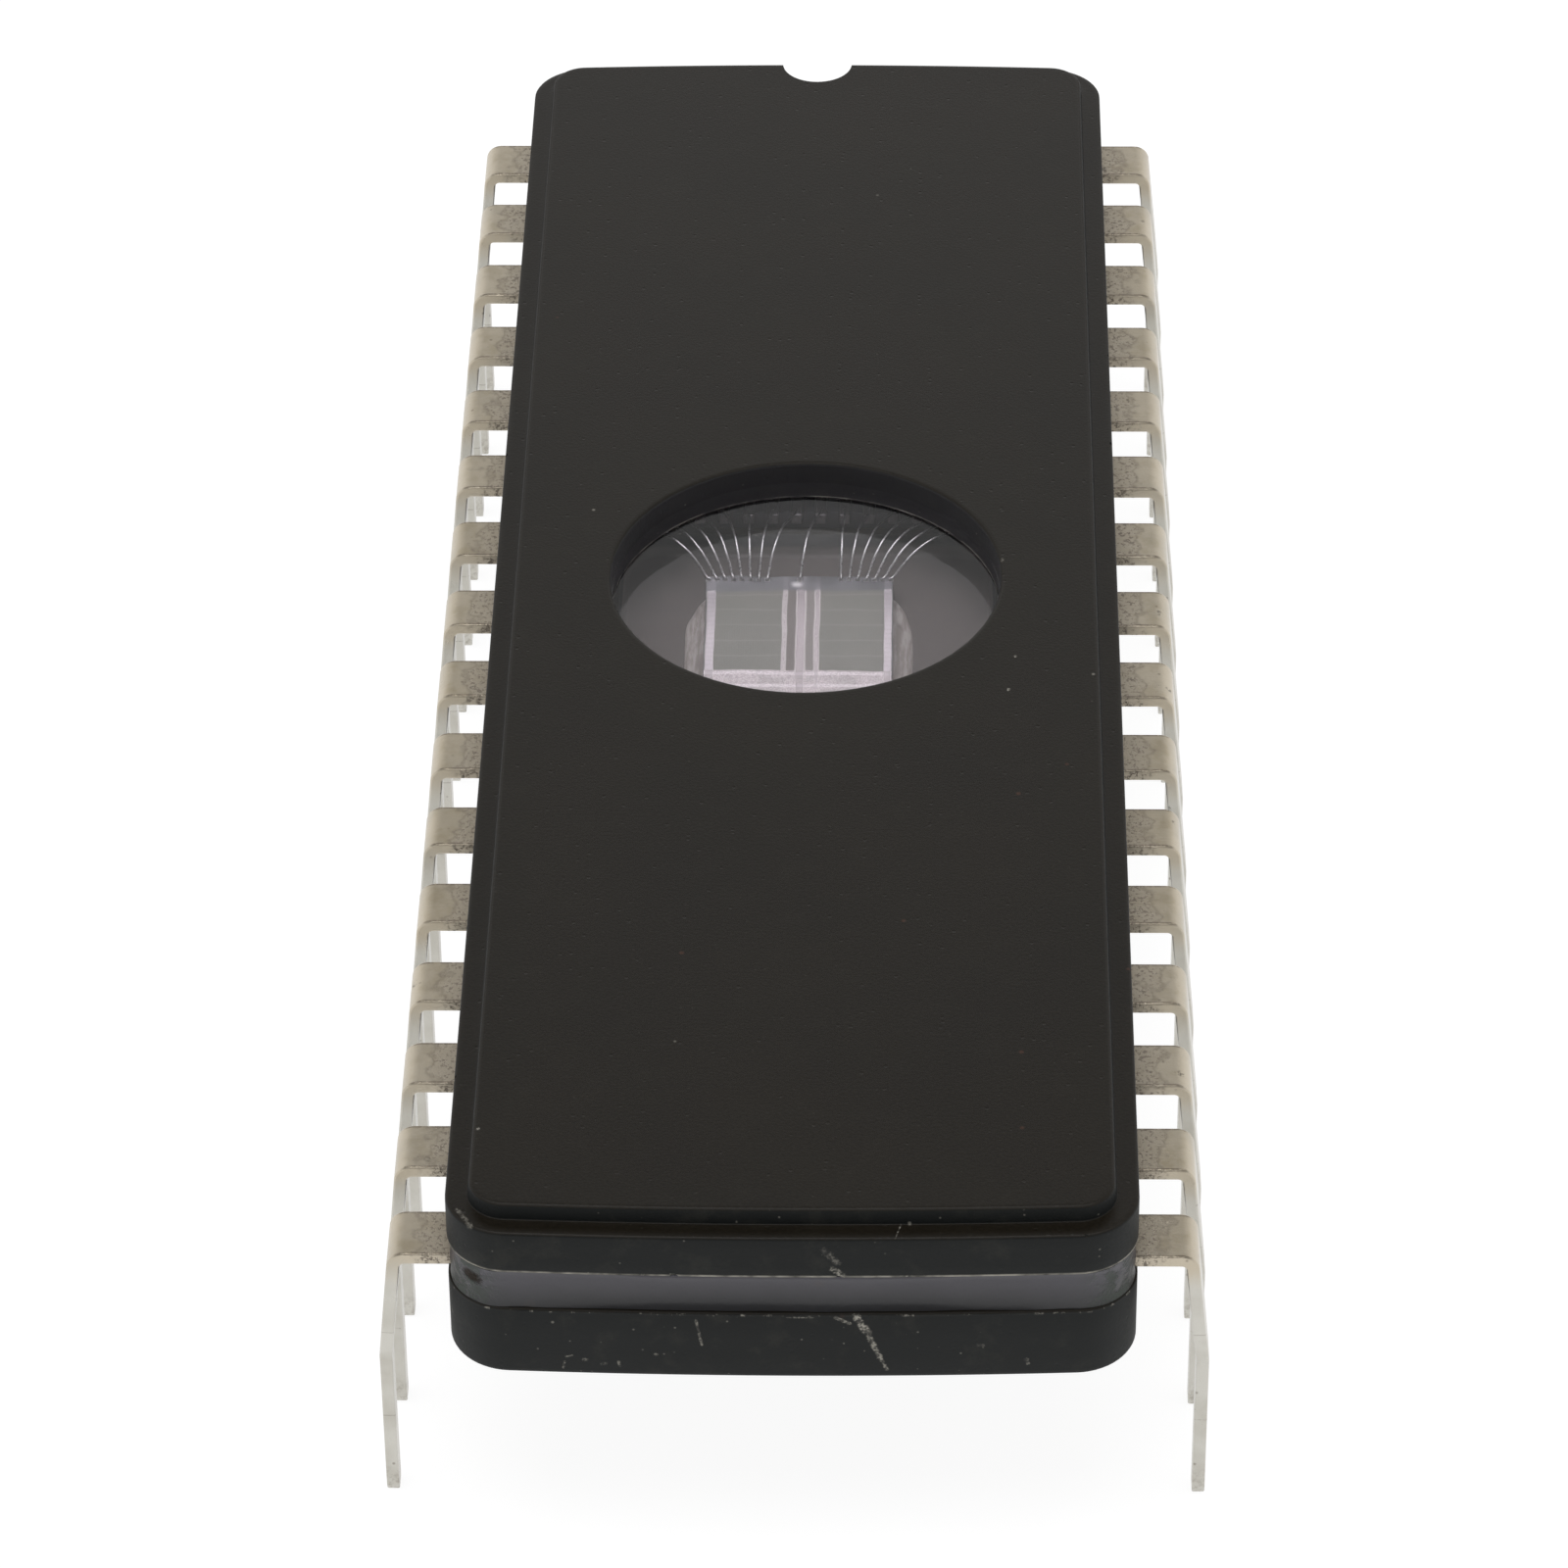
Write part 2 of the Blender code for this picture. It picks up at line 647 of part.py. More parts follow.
def main():
    for obj in list(bpy.data.objects):
        bpy.data.objects.remove(obj)
    parts = bpy.data.collections.new(COLLECTION_NAME)
    cutters = bpy.data.collections.new("cutters")
    cutters.hide_render = True
    for collection in (parts, cutters):
        bpy.context.scene.collection.children.link(collection)

    ceramic = material("dark_ceramic", (0.036, 0.033, 0.028), 0.55)
    seal = material("sealing_glass", (0.06, 0.055, 0.075), 0.2)
    clear = material("clear_lens", (0.8, 0.8, 0.82), 0.05, alpha=0.35)
    silicon = material("silicon", (0.24, 0.25, 0.22), 0.25, 0.6)
    paste = material("silver_paste", (0.35, 0.33, 0.3), 0.5, 0.4)
    tin = material("dull_tin", (0.55, 0.53, 0.48), 0.4, 0.9)

    glass_notch = make_cutter(
        "glass_notch", prism("glass_notch", notch_outline(GLASS_SETBACK), BASE_BOTTOM, RIM_TOP), cutters
    )

    make_base(parts, cutters, ceramic)
    make_base_glass(parts, cutters, glass_notch, seal)
    make_cap_glass(parts, cutters, glass_notch, seal)
    make_cap(parts, cutters, ceramic)
    make_lens(parts, clear)
    make_attach(parts, paste)
    make_die(parts, silicon)
    for number in range(1, 2 * LEADS_PER_SIDE + 1):
        make_lead(number, parts, cutters, tin)


main()
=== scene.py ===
"""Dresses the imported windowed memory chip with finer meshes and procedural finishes.

The chip has no moving parts, so every piece rides on the one body. Lengths are metres in the frame of
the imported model: Z = 0 at the lead tips, +Y towards the index notch, the body centred on X = Y = 0.
"""

from __future__ import annotations

import logging
import math
import random
from collections.abc import Callable, Sequence
from dataclasses import dataclass
from enum import Enum
from functools import cached_property
from typing import Any

import bmesh
import bpy
from mathutils import Matrix, Vector, noise


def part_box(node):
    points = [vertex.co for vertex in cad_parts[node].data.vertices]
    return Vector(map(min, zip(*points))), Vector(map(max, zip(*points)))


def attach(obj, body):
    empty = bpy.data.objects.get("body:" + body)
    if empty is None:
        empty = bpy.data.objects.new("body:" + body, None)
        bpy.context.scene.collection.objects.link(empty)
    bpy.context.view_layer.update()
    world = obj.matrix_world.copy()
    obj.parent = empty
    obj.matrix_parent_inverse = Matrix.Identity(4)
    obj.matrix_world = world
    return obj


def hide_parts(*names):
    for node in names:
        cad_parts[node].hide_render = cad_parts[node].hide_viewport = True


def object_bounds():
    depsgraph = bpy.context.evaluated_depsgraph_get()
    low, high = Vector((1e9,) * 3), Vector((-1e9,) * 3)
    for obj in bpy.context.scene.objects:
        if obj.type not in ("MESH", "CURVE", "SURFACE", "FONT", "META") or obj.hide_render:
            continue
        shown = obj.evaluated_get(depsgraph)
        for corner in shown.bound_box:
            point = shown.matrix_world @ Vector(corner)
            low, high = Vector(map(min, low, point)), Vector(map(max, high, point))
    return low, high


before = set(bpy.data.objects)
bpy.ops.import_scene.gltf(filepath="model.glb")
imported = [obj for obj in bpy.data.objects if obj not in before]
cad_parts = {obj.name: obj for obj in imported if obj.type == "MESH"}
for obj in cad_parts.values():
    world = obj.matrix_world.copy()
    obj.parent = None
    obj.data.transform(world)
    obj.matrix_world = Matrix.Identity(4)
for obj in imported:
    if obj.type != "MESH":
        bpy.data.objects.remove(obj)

CAD_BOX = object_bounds()
MM = 0.001
BODY = "root"
NEAR_FACE = CAD_BOX[0].y / MM
Colour = tuple[float, float, float]
Outline = list[tuple[float, float]]

log = logging.getLogger("eprom_chip")


class Row(Enum):
    """The two rows of leads, by the sign of X."""

    LEFT = -1
    RIGHT = 1


class End(Enum):
    """The two ends of the body, by the sign of Y."""

    NOTCH = 1
    PLAIN = -1


class Term:
    """A number that flows through a node tree, used in plain arithmetic."""

    def __init__(self, nodes: Nodes, socket: bpy.types.NodeSocket) -> None:
        """Wraps an output socket of the tree that nodes writes to."""
        self.nodes = nodes
        self.socket = socket

    def __add__(self, other: Any) -> Term:
        """Sum."""
        return self.nodes.math("ADD", self, other)

    def __radd__(self, other: Any) -> Term:
        """Sum with a plain number on the left."""
        return self.nodes.math("ADD", other, self)

    def __sub__(self, other: Any) -> Term:
        """Difference."""
        return self.nodes.math("SUBTRACT", self, other)

    def __rsub__(self, other: Any) -> Term:
        """Difference with a plain number on the left."""
        return self.nodes.math("SUBTRACT", other, self)

    def __mul__(self, other: Any) -> Term:
        """Product."""
        return self.nodes.math("MULTIPLY", self, other)

    def __rmul__(self, other: Any) -> Term:
        """Product with a plain number on the left."""
        return self.nodes.math("MULTIPLY", other, self)

    def __truediv__(self, other: Any) -> Term:
        """Quotient."""
        return self.nodes.math("DIVIDE", self, other)

    def __rtruediv__(self, other: Any) -> Term:
        """Quotient with a plain number on the left."""
        return self.nodes.math("DIVIDE", other, self)

    def __pow__(self, other: Any) -> Term:
        """Power."""
        return self.nodes.math("POWER", self, other)

    def __abs__(self) -> Term:
        """Size without its sign."""
        return self.nodes.math("ABSOLUTE", self)

    def least(self, other: Any) -> Term:
        """The smaller of two."""
        return self.nodes.math("MINIMUM", self, other)

    def most(self, other: Any) -> Term:
        """The larger of two."""
        return self.nodes.math("MAXIMUM", self, other)

    def sine(self) -> Term:
        """Sine of an angle in radians."""
        return self.nodes.math("SINE", self)

    def cosine(self) -> Term:
        """Cosine of an angle in radians."""
        return self.nodes.math("COSINE", self)

    def held(self) -> Term:
        """Held between 0 and 1."""
        return self.least(1.0).most(0.0)

    def rise(self, low: float, high: float) -> Term:
        """A soft step between two values, either of which may be the larger number.

        Args:
            low: Value at which the step is 0.
            high: Value at which the step is 1.

        Returns:
            The step as a term.
        """
        node = self.nodes.add(
            "ShaderNodeMapRange",
            {"interpolation_type": "SMOOTHSTEP"},
            {"Value": self, "From Min": low, "From Max": high},
        )
        return Term(self.nodes, node.outputs["Result"])

    def band(self, low: float, high: float, soft: float) -> Term:
        """1 between two values and 0 outside them, with soft edges."""
        return self.rise(low - soft, low + soft) * self.rise(high + soft, high - soft)


class Nodes:
    """Adds nodes to one tree and joins their sockets."""

    def __init__(self, tree: bpy.types.NodeTree) -> None:
        """Starts on a tree that may already hold nodes."""
        self.tree = tree

    def add(
        self, kind: str, settings: dict[str, Any] | None = None, sockets: dict[Any, Any] | None = None
    ) -> bpy.types.Node:
        """Adds one node.

        Args:
            kind: The node's type, such as "ShaderNodeMath".
            settings: The node's own properties, set first.
            sockets: Values or links for its inputs, by name or index.

        Returns:
            The new node.
        """
        node = self.tree.nodes.new(kind)
        for key, value in (settings or {}).items():
            setattr(node, key, value)
        for key, value in (sockets or {}).items():
            self.put(node.inputs[key], value)
        node.location = (180.0 * (len(self.tree.nodes) % 24), -220.0 * (len(self.tree.nodes) // 24))
        return node

    def put(self, socket: bpy.types.NodeSocket, value: Any) -> None:
        """Links a term or socket to an input, or writes a plain value on it.

        Args:
            socket: The input.
            value: A term, an output socket, or a value of the input's own kind.
        """
        if isinstance(value, Term):
            self.tree.links.new(value.socket, socket)
        elif isinstance(value, bpy.types.NodeSocket):
            self.tree.links.new(value, socket)
        elif socket.type == "RGBA" and len(value) == 3:
            socket.default_value = (*value, 1.0)
        else:
            socket.default_value = value

    def math(self, operation: str, *values: Any) -> Term:
        """One step of arithmetic on numbers."""
        node = self.add("ShaderNodeMath", {"operation": operation}, dict(enumerate(values)))
        return Term(self, node.outputs[0])

    def vector(self, operation: str, *values: Any) -> bpy.types.NodeSocket:
        """One step of arithmetic on vectors or colours that gives a vector."""
        node = self.add("ShaderNodeVectorMath", {"operation": operation}, dict(enumerate(values)))
        return node.outputs["Vector"]

    def measure(self, operation: str, *values: Any) -> Term:
        """One step of arithmetic on vectors that gives a number."""
        node = self.add("ShaderNodeVectorMath", {"operation": operation}, dict(enumerate(values)))
        return Term(self, node.outputs["Value"])

    def split(self, vector: Any) -> tuple[Term, Term, Term]:
        """The three parts of a vector."""
        node = self.add("ShaderNodeSeparateXYZ", None, {0: vector})
        return tuple(Term(self, output) for output in node.outputs)

    def join(self, x: Any, y: Any, z: Any) -> bpy.types.NodeSocket:
        """A vector from three numbers."""
        return self.add("ShaderNodeCombineXYZ", None, {0: x, 1: y, 2: z}).outputs[0]

    def blend(self, share: Any, first: Any, second: Any) -> bpy.types.NodeSocket:
        """A colour between two, by a share from 0 to 1."""
        node = self.add("ShaderNodeMix", {"data_type": "RGBA"}, {0: share, 6: first, 7: second})
        return node.outputs[2]

    def grain(self, place: Any, size: float, detail: float = 2.0, rough: float = 0.5) -> Term:
        """Soft random variation around 0.5.

        Args:
            place: Coordinates in metres.
            size: Size of the largest patches, in metres.
            detail: How many finer layers lie on them.
            rough: How strong the finer layers are.

        Returns:
            The value as a term.
        """
        node = self.add(
            "ShaderNodeTexNoise",
            {"noise_dimensions": "3D"},
            {"Vector": place, "Scale": 1.0 / size, "Detail": detail, "Roughness": rough},
        )
        return Term(self, node.outputs["Fac"])

    def specks(self, place: Any, spacing: float, radius: float, share: float) -> Term:
        """Scattered round specks: 1 at their middle, 0 away from them.

        Args:
            place: Coordinates in metres.
            spacing: Mean distance between possible specks.
            radius: Radius of the largest speck.
            share: Part of the places that has a speck.

        Returns:
            The mask as a term.
        """
        node = self.add("ShaderNodeTexVoronoi", None, {"Vector": place, "Scale": 1.0 / spacing})
        chance = self.split(node.outputs["Color"])[0]
        near = Term(self, node.outputs["Distance"]).rise(radius / spacing, 0.4 * radius / spacing)
        return near * chance.rise(1.0 - share, 1.0 - 0.6 * share)


class Surface(Nodes):
    """The node tree of one material, which ends in a Principled BSDF."""

    def __init__(self, name: str) -> None:
        """Makes the material with its shader and output only.

        Args:
            name: Name of the material.
        """
        self.material = bpy.data.materials.new(name)
        self.material.use_nodes = True
        super().__init__(self.material.node_tree)
        self.shader = self.tree.nodes["Principled BSDF"]
        self.output = self.tree.nodes["Material Output"]
        self.place = self.add("ShaderNodeTexCoord").outputs["Object"]
        self.x, self.y, self.z = self.split(self.place)

    def facing(self) -> tuple[Term, Term, Term]:
        """The three parts of the surface's own normal."""
        return self.split(self.add("ShaderNodeNewGeometry").outputs["Normal"])

    def dress(self, **sockets: Any) -> None:
        """Writes the shader's sockets, named with underscores for spaces."""
        for key, value in sockets.items():
            self.put(self.shader.inputs[key.replace("_", " ")], value)

    def relief(self, height: Term, depth: float) -> None:
        """Bumps the surface by a height from 0 to 1 that stands for a depth in metres."""
        bump = self.add("ShaderNodeBump", None, {"Height": height, "Distance": depth})
        self.put(self.shader.inputs["Normal"], bump.outputs[0])

    def paint(self, piece: bpy.types.Object) -> None:
        """Gives an object this material alone."""
        piece.data.materials.clear()
        piece.data.materials.append(self.material)


class Recipe(Nodes):
    """A geometry tree with named sizes, which ends in Realize Instances and Set Material."""

    def __init__(self, name: str, sizes: dict[str, str]) -> None:
        """Makes the tree's interface.

        Args:
            name: Name of the tree.
            sizes: The type of each named input, "Float" or "Vector".
        """
        tree = bpy.data.node_groups.new(name, "GeometryNodeTree")
        super().__init__(tree)
        tree.interface.new_socket("Geometry", in_out="INPUT", socket_type="NodeSocketGeometry")
        for size, kind in sizes.items():
            tree.interface.new_socket(size, in_out="INPUT", socket_type="NodeSocket" + kind)
        tree.interface.new_socket("Finish", in_out="INPUT", socket_type="NodeSocketMaterial")
        tree.interface.new_socket("Geometry", in_out="OUTPUT", socket_type="NodeSocketGeometry")
        self.given = self.add("NodeGroupInput")

    def size(self, name: str) -> Term:
        """A named number of the tree."""
        return Term(self, self.given.outputs[name])

    def end(self, geometry: Any) -> None:
        """Realizes the instances, sets the finish and ends the tree.

        Args:
            geometry: The output socket that holds the finished shape.
        """
        real = self.add("GeometryNodeRealizeInstances", None, {"Geometry": geometry})
        dressed = self.add(
            "GeometryNodeSetMaterial",
            None,
            {"Geometry": real.outputs[0], "Material": self.given.outputs["Finish"]},
        )
        self.add("NodeGroupOutput", None, {0: dressed.outputs[0]})

    def make(
        self, seed: bpy.types.Mesh, sizes: dict[str, Any], finish: bpy.types.Material
    ) -> bpy.types.Mesh:
        """Runs the tree on a mesh.

        Args:
            seed: The mesh that the tree starts from.
            sizes: Values of the named inputs.
            finish: The material that the result carries.

        Returns:
            A plain mesh.
        """
        holder = bpy.data.objects.new("tree_holder", seed)
        bpy.context.scene.collection.objects.link(holder)
        modifier = holder.modifiers.new("tree", "NODES")
        modifier.node_group = self.tree
        keys = {
            item.name: item.identifier
            for item in self.tree.interface.items_tree
            if item.item_type == "SOCKET" and item.in_out == "INPUT"
        }
        for name, value in {**sizes, "Finish": finish}.items():
            modifier[keys[name]] = value
        graph = bpy.context.evaluated_depsgraph_get()
        made = bpy.data.meshes.new_from_object(holder.evaluated_get(graph))
        holder.modifiers.remove(modifier)
        bpy.data.objects.remove(holder)
        made.materials.clear()
        made.materials.append(finish)
        made.polygons.foreach_set("material_index", [0] * len(made.polygons))
        return made


def arc(centre: tuple[float, float], radius: float, start: float, end: float, steps: int) -> Outline:
    """Points on an arc, both ends included."""
    turns = [start + (end - start) * step / steps for step in range(steps + 1)]
    return [(centre[0] + radius * math.cos(t), centre[1] + radius * math.sin(t)) for t in turns]


def circle(radius: float, steps: int) -> Outline:
    """Points of a circle round the origin, counter-clockwise."""
    turns = [2 * math.pi * step / steps for step in range(steps)]
    return [(radius * math.cos(t), radius * math.sin(t)) for t in turns]


def rounded_outline(
    width: float, length: float, radius: float, corner: int, sides: tuple[int, int]
) -> Outline:
    """Counter-clockwise outline of a rectangle with round corners, with points along its sides too.

    Args:
        width: Size along X.
        length: Size along Y.
        radius: Corner radius.
        corner: Steps round each corner.
        sides: Steps along each end, then along each long side.

    Returns:
        The points, as many for every size.
    """
    across = width / 2 - radius
    along = length / 2 - radius
    quarter = math.pi / 2
    corners = ((across, along), (-across, along), (-across, -along), (across, -along))
    points: Outline = []
    for turn, centre in enumerate(corners):
        points += arc(centre, radius, turn * quarter, (turn + 1) * quarter, corner)
        following = Vector(corners[(turn + 1) % 4])
        start = (turn + 1) * quarter
        here = Vector(points[-1])
        target = following + Vector((math.cos(start), math.sin(start))) * radius
        steps = sides[turn % 2]
        points += [tuple(here.lerp(target, step / steps)) for step in range(1, steps)]
    return points


def fillet(centre: tuple[float, float], radius: float, start: float, end: float, steps: int) -> Outline:
    """Points of a rounded edge of a section, as (inset, height) pairs, with angles in degrees."""
    return arc(centre, radius, math.radians(start), math.radians(end), steps)


def add_ring(bm: bmesh.types.BMesh, outline: Outline, height: float) -> list[bmesh.types.BMVert]:
    """Adds the points of an outline at one height."""
    return [bm.verts.new((x, y, height)) for x, y in outline]


def bridge(bm: bmesh.types.BMesh, lower: list, upper: list) -> None:
    """Joins two rings with as many points each by a wall of quads.

    Args:
        bm: The mesh that holds both rings.
        lower: Points of the first ring, in order.
        upper: Points of the second ring, in the same order.
    """
    for i, first in enumerate(lower):
        j = (i + 1) % len(lower)
        bm.faces.new((first, lower[j], upper[j], upper[i]))


def stack(bm: bmesh.types.BMesh, rings: Sequence[list]) -> None:
    """Joins each ring to the next one."""
    for lower, upper in zip(rings, rings[1:]):
        bridge(bm, lower, upper)


def cover(bm: bmesh.types.BMesh, rings: Sequence[list]) -> None:
    """Fills the flat space between rings of any point counts.

    Args:
        bm: The mesh that holds the rings.
        rings: Closed rings at one height, whose edges are there already.
    """
    edges = []
    for ring in rings:
        for i, first in enumerate(ring):
            edges.append(bm.edges.get((first, ring[(i + 1) % len(ring)])))
    bmesh.ops.triangle_fill(bm, use_beauty=True, edges=edges)


def finish_mesh(bm: bmesh.types.BMesh, name: str) -> bpy.types.Mesh:
    """Writes a closed bmesh to a new mesh with its faces turned outwards.

    Args:
        bm: The shape, which is freed.
        name: Name of the mesh.

    Returns:
        The mesh.
    """
    bmesh.ops.recalc_face_normals(bm, faces=bm.faces)
    mesh = bpy.data.meshes.new(name)
    bm.to_mesh(mesh)
    bm.free()
    return mesh


def shade(mesh: bpy.types.Mesh, sharp: float) -> bpy.types.Mesh:
    """Shades a mesh smoothly, except across its sharp edges.

    Args:
        mesh: The mesh to shade.
        sharp: Angle in degrees from which an edge is sharp.

    Returns:
        The same mesh.
    """
    mesh.shade_smooth()
    mesh.set_sharp_from_angle(angle=math.radians(sharp))
    return mesh


def place_piece(name: str, mesh: bpy.types.Mesh) -> bpy.types.Object:
    """Adds a piece to the scene at the origin.

    Args:
        name: Name of the piece and its mesh.
        mesh: Its mesh, already in place.

    Returns:
        The new object.
    """
    mesh.name = name
    piece = bpy.data.objects.new(name, mesh)
    bpy.context.scene.collection.objects.link(piece)
    return piece


def settle(piece: bpy.types.Object, slot: str, *nodes: str) -> bpy.types.Object:
    """Fixes a piece to the body and hides the solids that it stands for.

    Args:
        piece: The dressed piece.
        slot: Name of its material slot; not used.
        *nodes: The solids that it takes the place of.

    Returns:
        The same piece.
    """
    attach(piece, BODY)
    if nodes:
        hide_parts(*nodes)
    log.info("%s: %d faces", piece.name, len(piece.data.polygons))
    return piece


def with_modifiers(mesh: bpy.types.Mesh, add: Callable[[bpy.types.Object], None]) -> bpy.types.Mesh:
    """A plain mesh of what some modifiers make of a mesh.

    Args:
        mesh: The mesh to start from.
        add: Adds the modifiers to the object that it is given.

    Returns:
        The new mesh.
    """
    holder = bpy.data.objects.new("modifier_holder", mesh)
    bpy.context.scene.collection.objects.link(holder)
    add(holder)
    graph = bpy.context.evaluated_depsgraph_get()
    made = bpy.data.meshes.new_from_object(holder.evaluated_get(graph))
    bpy.data.objects.remove(holder)
    return made


def carve(mesh: bpy.types.Mesh, cutters: Sequence[bpy.types.Mesh]) -> bpy.types.Mesh:
    """Takes each cutter out of a mesh in turn.

    Args:
        mesh: The closed mesh to cut.
        cutters: Closed meshes that overlap it.

    Returns:
        The mesh that is left.
    """
    for cutter in cutters:
        tool = bpy.data.objects.new("tool", cutter)
        bpy.context.scene.collection.objects.link(tool)

        def subtract(holder: bpy.types.Object, tool: bpy.types.Object = tool) -> None:
            """Adds the Boolean.

            Args:
                holder: The object to cut.
                tool: The object that is taken out of it.
            """
            cut = holder.modifiers.new("cut", "BOOLEAN")
            cut.operation = "DIFFERENCE"
            cut.solver = "EXACT"
            cut.object = tool

        mesh = with_modifiers(mesh, subtract)
        bpy.data.objects.remove(tool)
    return mesh


def merged(meshes: Sequence[bpy.types.Mesh], name: str) -> bpy.types.Mesh:
    """Puts several meshes into one, each keeping its own material.

    Args:
        meshes: The meshes, with one material each.
        name: Name of the result.

    Returns:
        The new mesh.
    """
    bm = bmesh.new()
    result = bpy.data.meshes.new(name)
    for index, mesh in enumerate(meshes):
        before = len(bm.faces)
        bm.from_mesh(mesh)
        bm.faces.ensure_lookup_table()
        for face in bm.faces[before:]:
            face.material_index = index
        result.materials.append(mesh.materials[0])
    bm.to_mesh(result)
    bm.free()
    return result


@dataclass(frozen=True)
class Package:
    """Sizes that several pieces share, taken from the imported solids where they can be."""

    corner_radius: float = 1.15 * MM
    end_bow: float = 0.18 * MM
    notch_radius: float = 0.8 * MM
    notch_depth: float = 1.25 * MM
    window_radius: float = 4.1 * MM
    cavity_corner: float = 0.8 * MM
    cavity_width: float = 8.0 * MM
    cavity_length: float = 8.0 * MM
    cavity_depth: float = 0.55 * MM
    lead_top: float = 6.48 * MM
    lead_thickness: float = 0.25 * MM
    lead_pitch: float = 2.54 * MM
    leads_per_side: int = 16
    notch_steps: int = 24
    die_shift: float = -0.17 * MM
    die_width: float = 4.0 * MM
    die_length: float = 4.9 * MM

    @cached_property
    def width(self) -> float:
        """Width of the ceramic body."""
        low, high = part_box("ceramic_base")
        return high.x - low.x

    @cached_property
    def length(self) -> float:
        """Length of the ceramic body."""
        low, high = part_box("ceramic_base")
        return high.y - low.y

    @cached_property
    def base_bottom(self) -> float:
        """Height of the underside of the base."""
        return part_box("ceramic_base")[0].z

    @cached_property
    def base_top(self) -> float:
        """Height of the upper face of the base."""
        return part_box("ceramic_base")[1].z

    @cached_property
    def cap_bottom(self) -> float:
        """Height of the lower face of the cap."""
        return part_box("ceramic_cap")[0].z

    @cached_property
    def panel_top(self) -> float:
        """Height of the raised panel of the cap."""
        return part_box("ceramic_cap")[1].z

    @cached_property
    def die_top(self) -> float:
        """Height of the upper face of the die."""
        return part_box("silicon_die")[1].z

    @cached_property
    def row_length(self) -> float:
        """Distance between the first and the last lead of a row."""
        return (self.leads_per_side - 1) * self.lead_pitch

    def bow(self, x: float) -> float:
        """How far the slightly rounded ends of the body fall back at a place along its width."""
        return self.end_bow * (2 * x / self.width) ** 2

    def bowed(self, x: float, y: float) -> tuple[float, float]:
        """A place on the straight-ended body moved to where the bowed ends put it."""
        return x, y * (1.0 - 2 * self.bow(x) / self.length)

    def outline(self, inset: float, corner: int = 14, sides: tuple[int, int] = (22, 80)) -> Outline:
        """Plan outline of the body.

        Args:
            inset: How far it is moved in all round.
            corner: Steps round each corner.
            sides: Steps along each end, then along each long side.

        Returns:
            The points, counter-clockwise.
        """
        straight = rounded_outline(
            self.width - 2 * inset, self.length - 2 * inset, self.corner_radius - inset, corner, sides
        )
        return [self.bowed(x, y) for x, y in straight]

    def cavity(self, grow: float) -> Outline:
        """Plan outline of the die cavity.

        Args:
            grow: How far it is moved out all round.

        Returns:
            The points, counter-clockwise.
        """
        width = self.cavity_width + 2 * grow
        length = self.cavity_length + 2 * grow
        return rounded_outline(width, length, self.cavity_corner + grow, 8, (10, 10))

    def notch_tool(self, grow: float, low: float, high: float) -> bpy.types.Mesh:
        """A tool that cuts the index notch.

        Args:
            grow: How far the notch's wall is moved out.
            low: Height of the tool's lower face.
            high: Height of its upper face.

        Returns:
            The closed mesh of the tool.
        """
        radius = self.notch_radius + grow
        centre = (0.0, self.length / 2 - self.notch_depth + self.notch_radius)
        mouth = self.length / 2 + self.notch_radius
        plan = [(radius, mouth), (-radius, mouth)] + arc(
            centre, radius, math.pi, 2 * math.pi, self.notch_steps
        )
        bm = bmesh.new()
        lower = add_ring(bm, plan, low)
        upper = add_ring(bm, plan, high)
        bridge(bm, lower, upper)
        bm.faces.new(list(reversed(lower)))
        bm.faces.new(upper)
        return finish_mesh(bm, "notch_tool")


PACKAGE = Package()


@dataclass(frozen=True)
class Mark:
    """A scratch, scuff or chip mark from one point to another, in millimetres."""

    start: tuple[float, float, float]
    end: tuple[float, float, float]
    width: float
    strength: float = 1.0


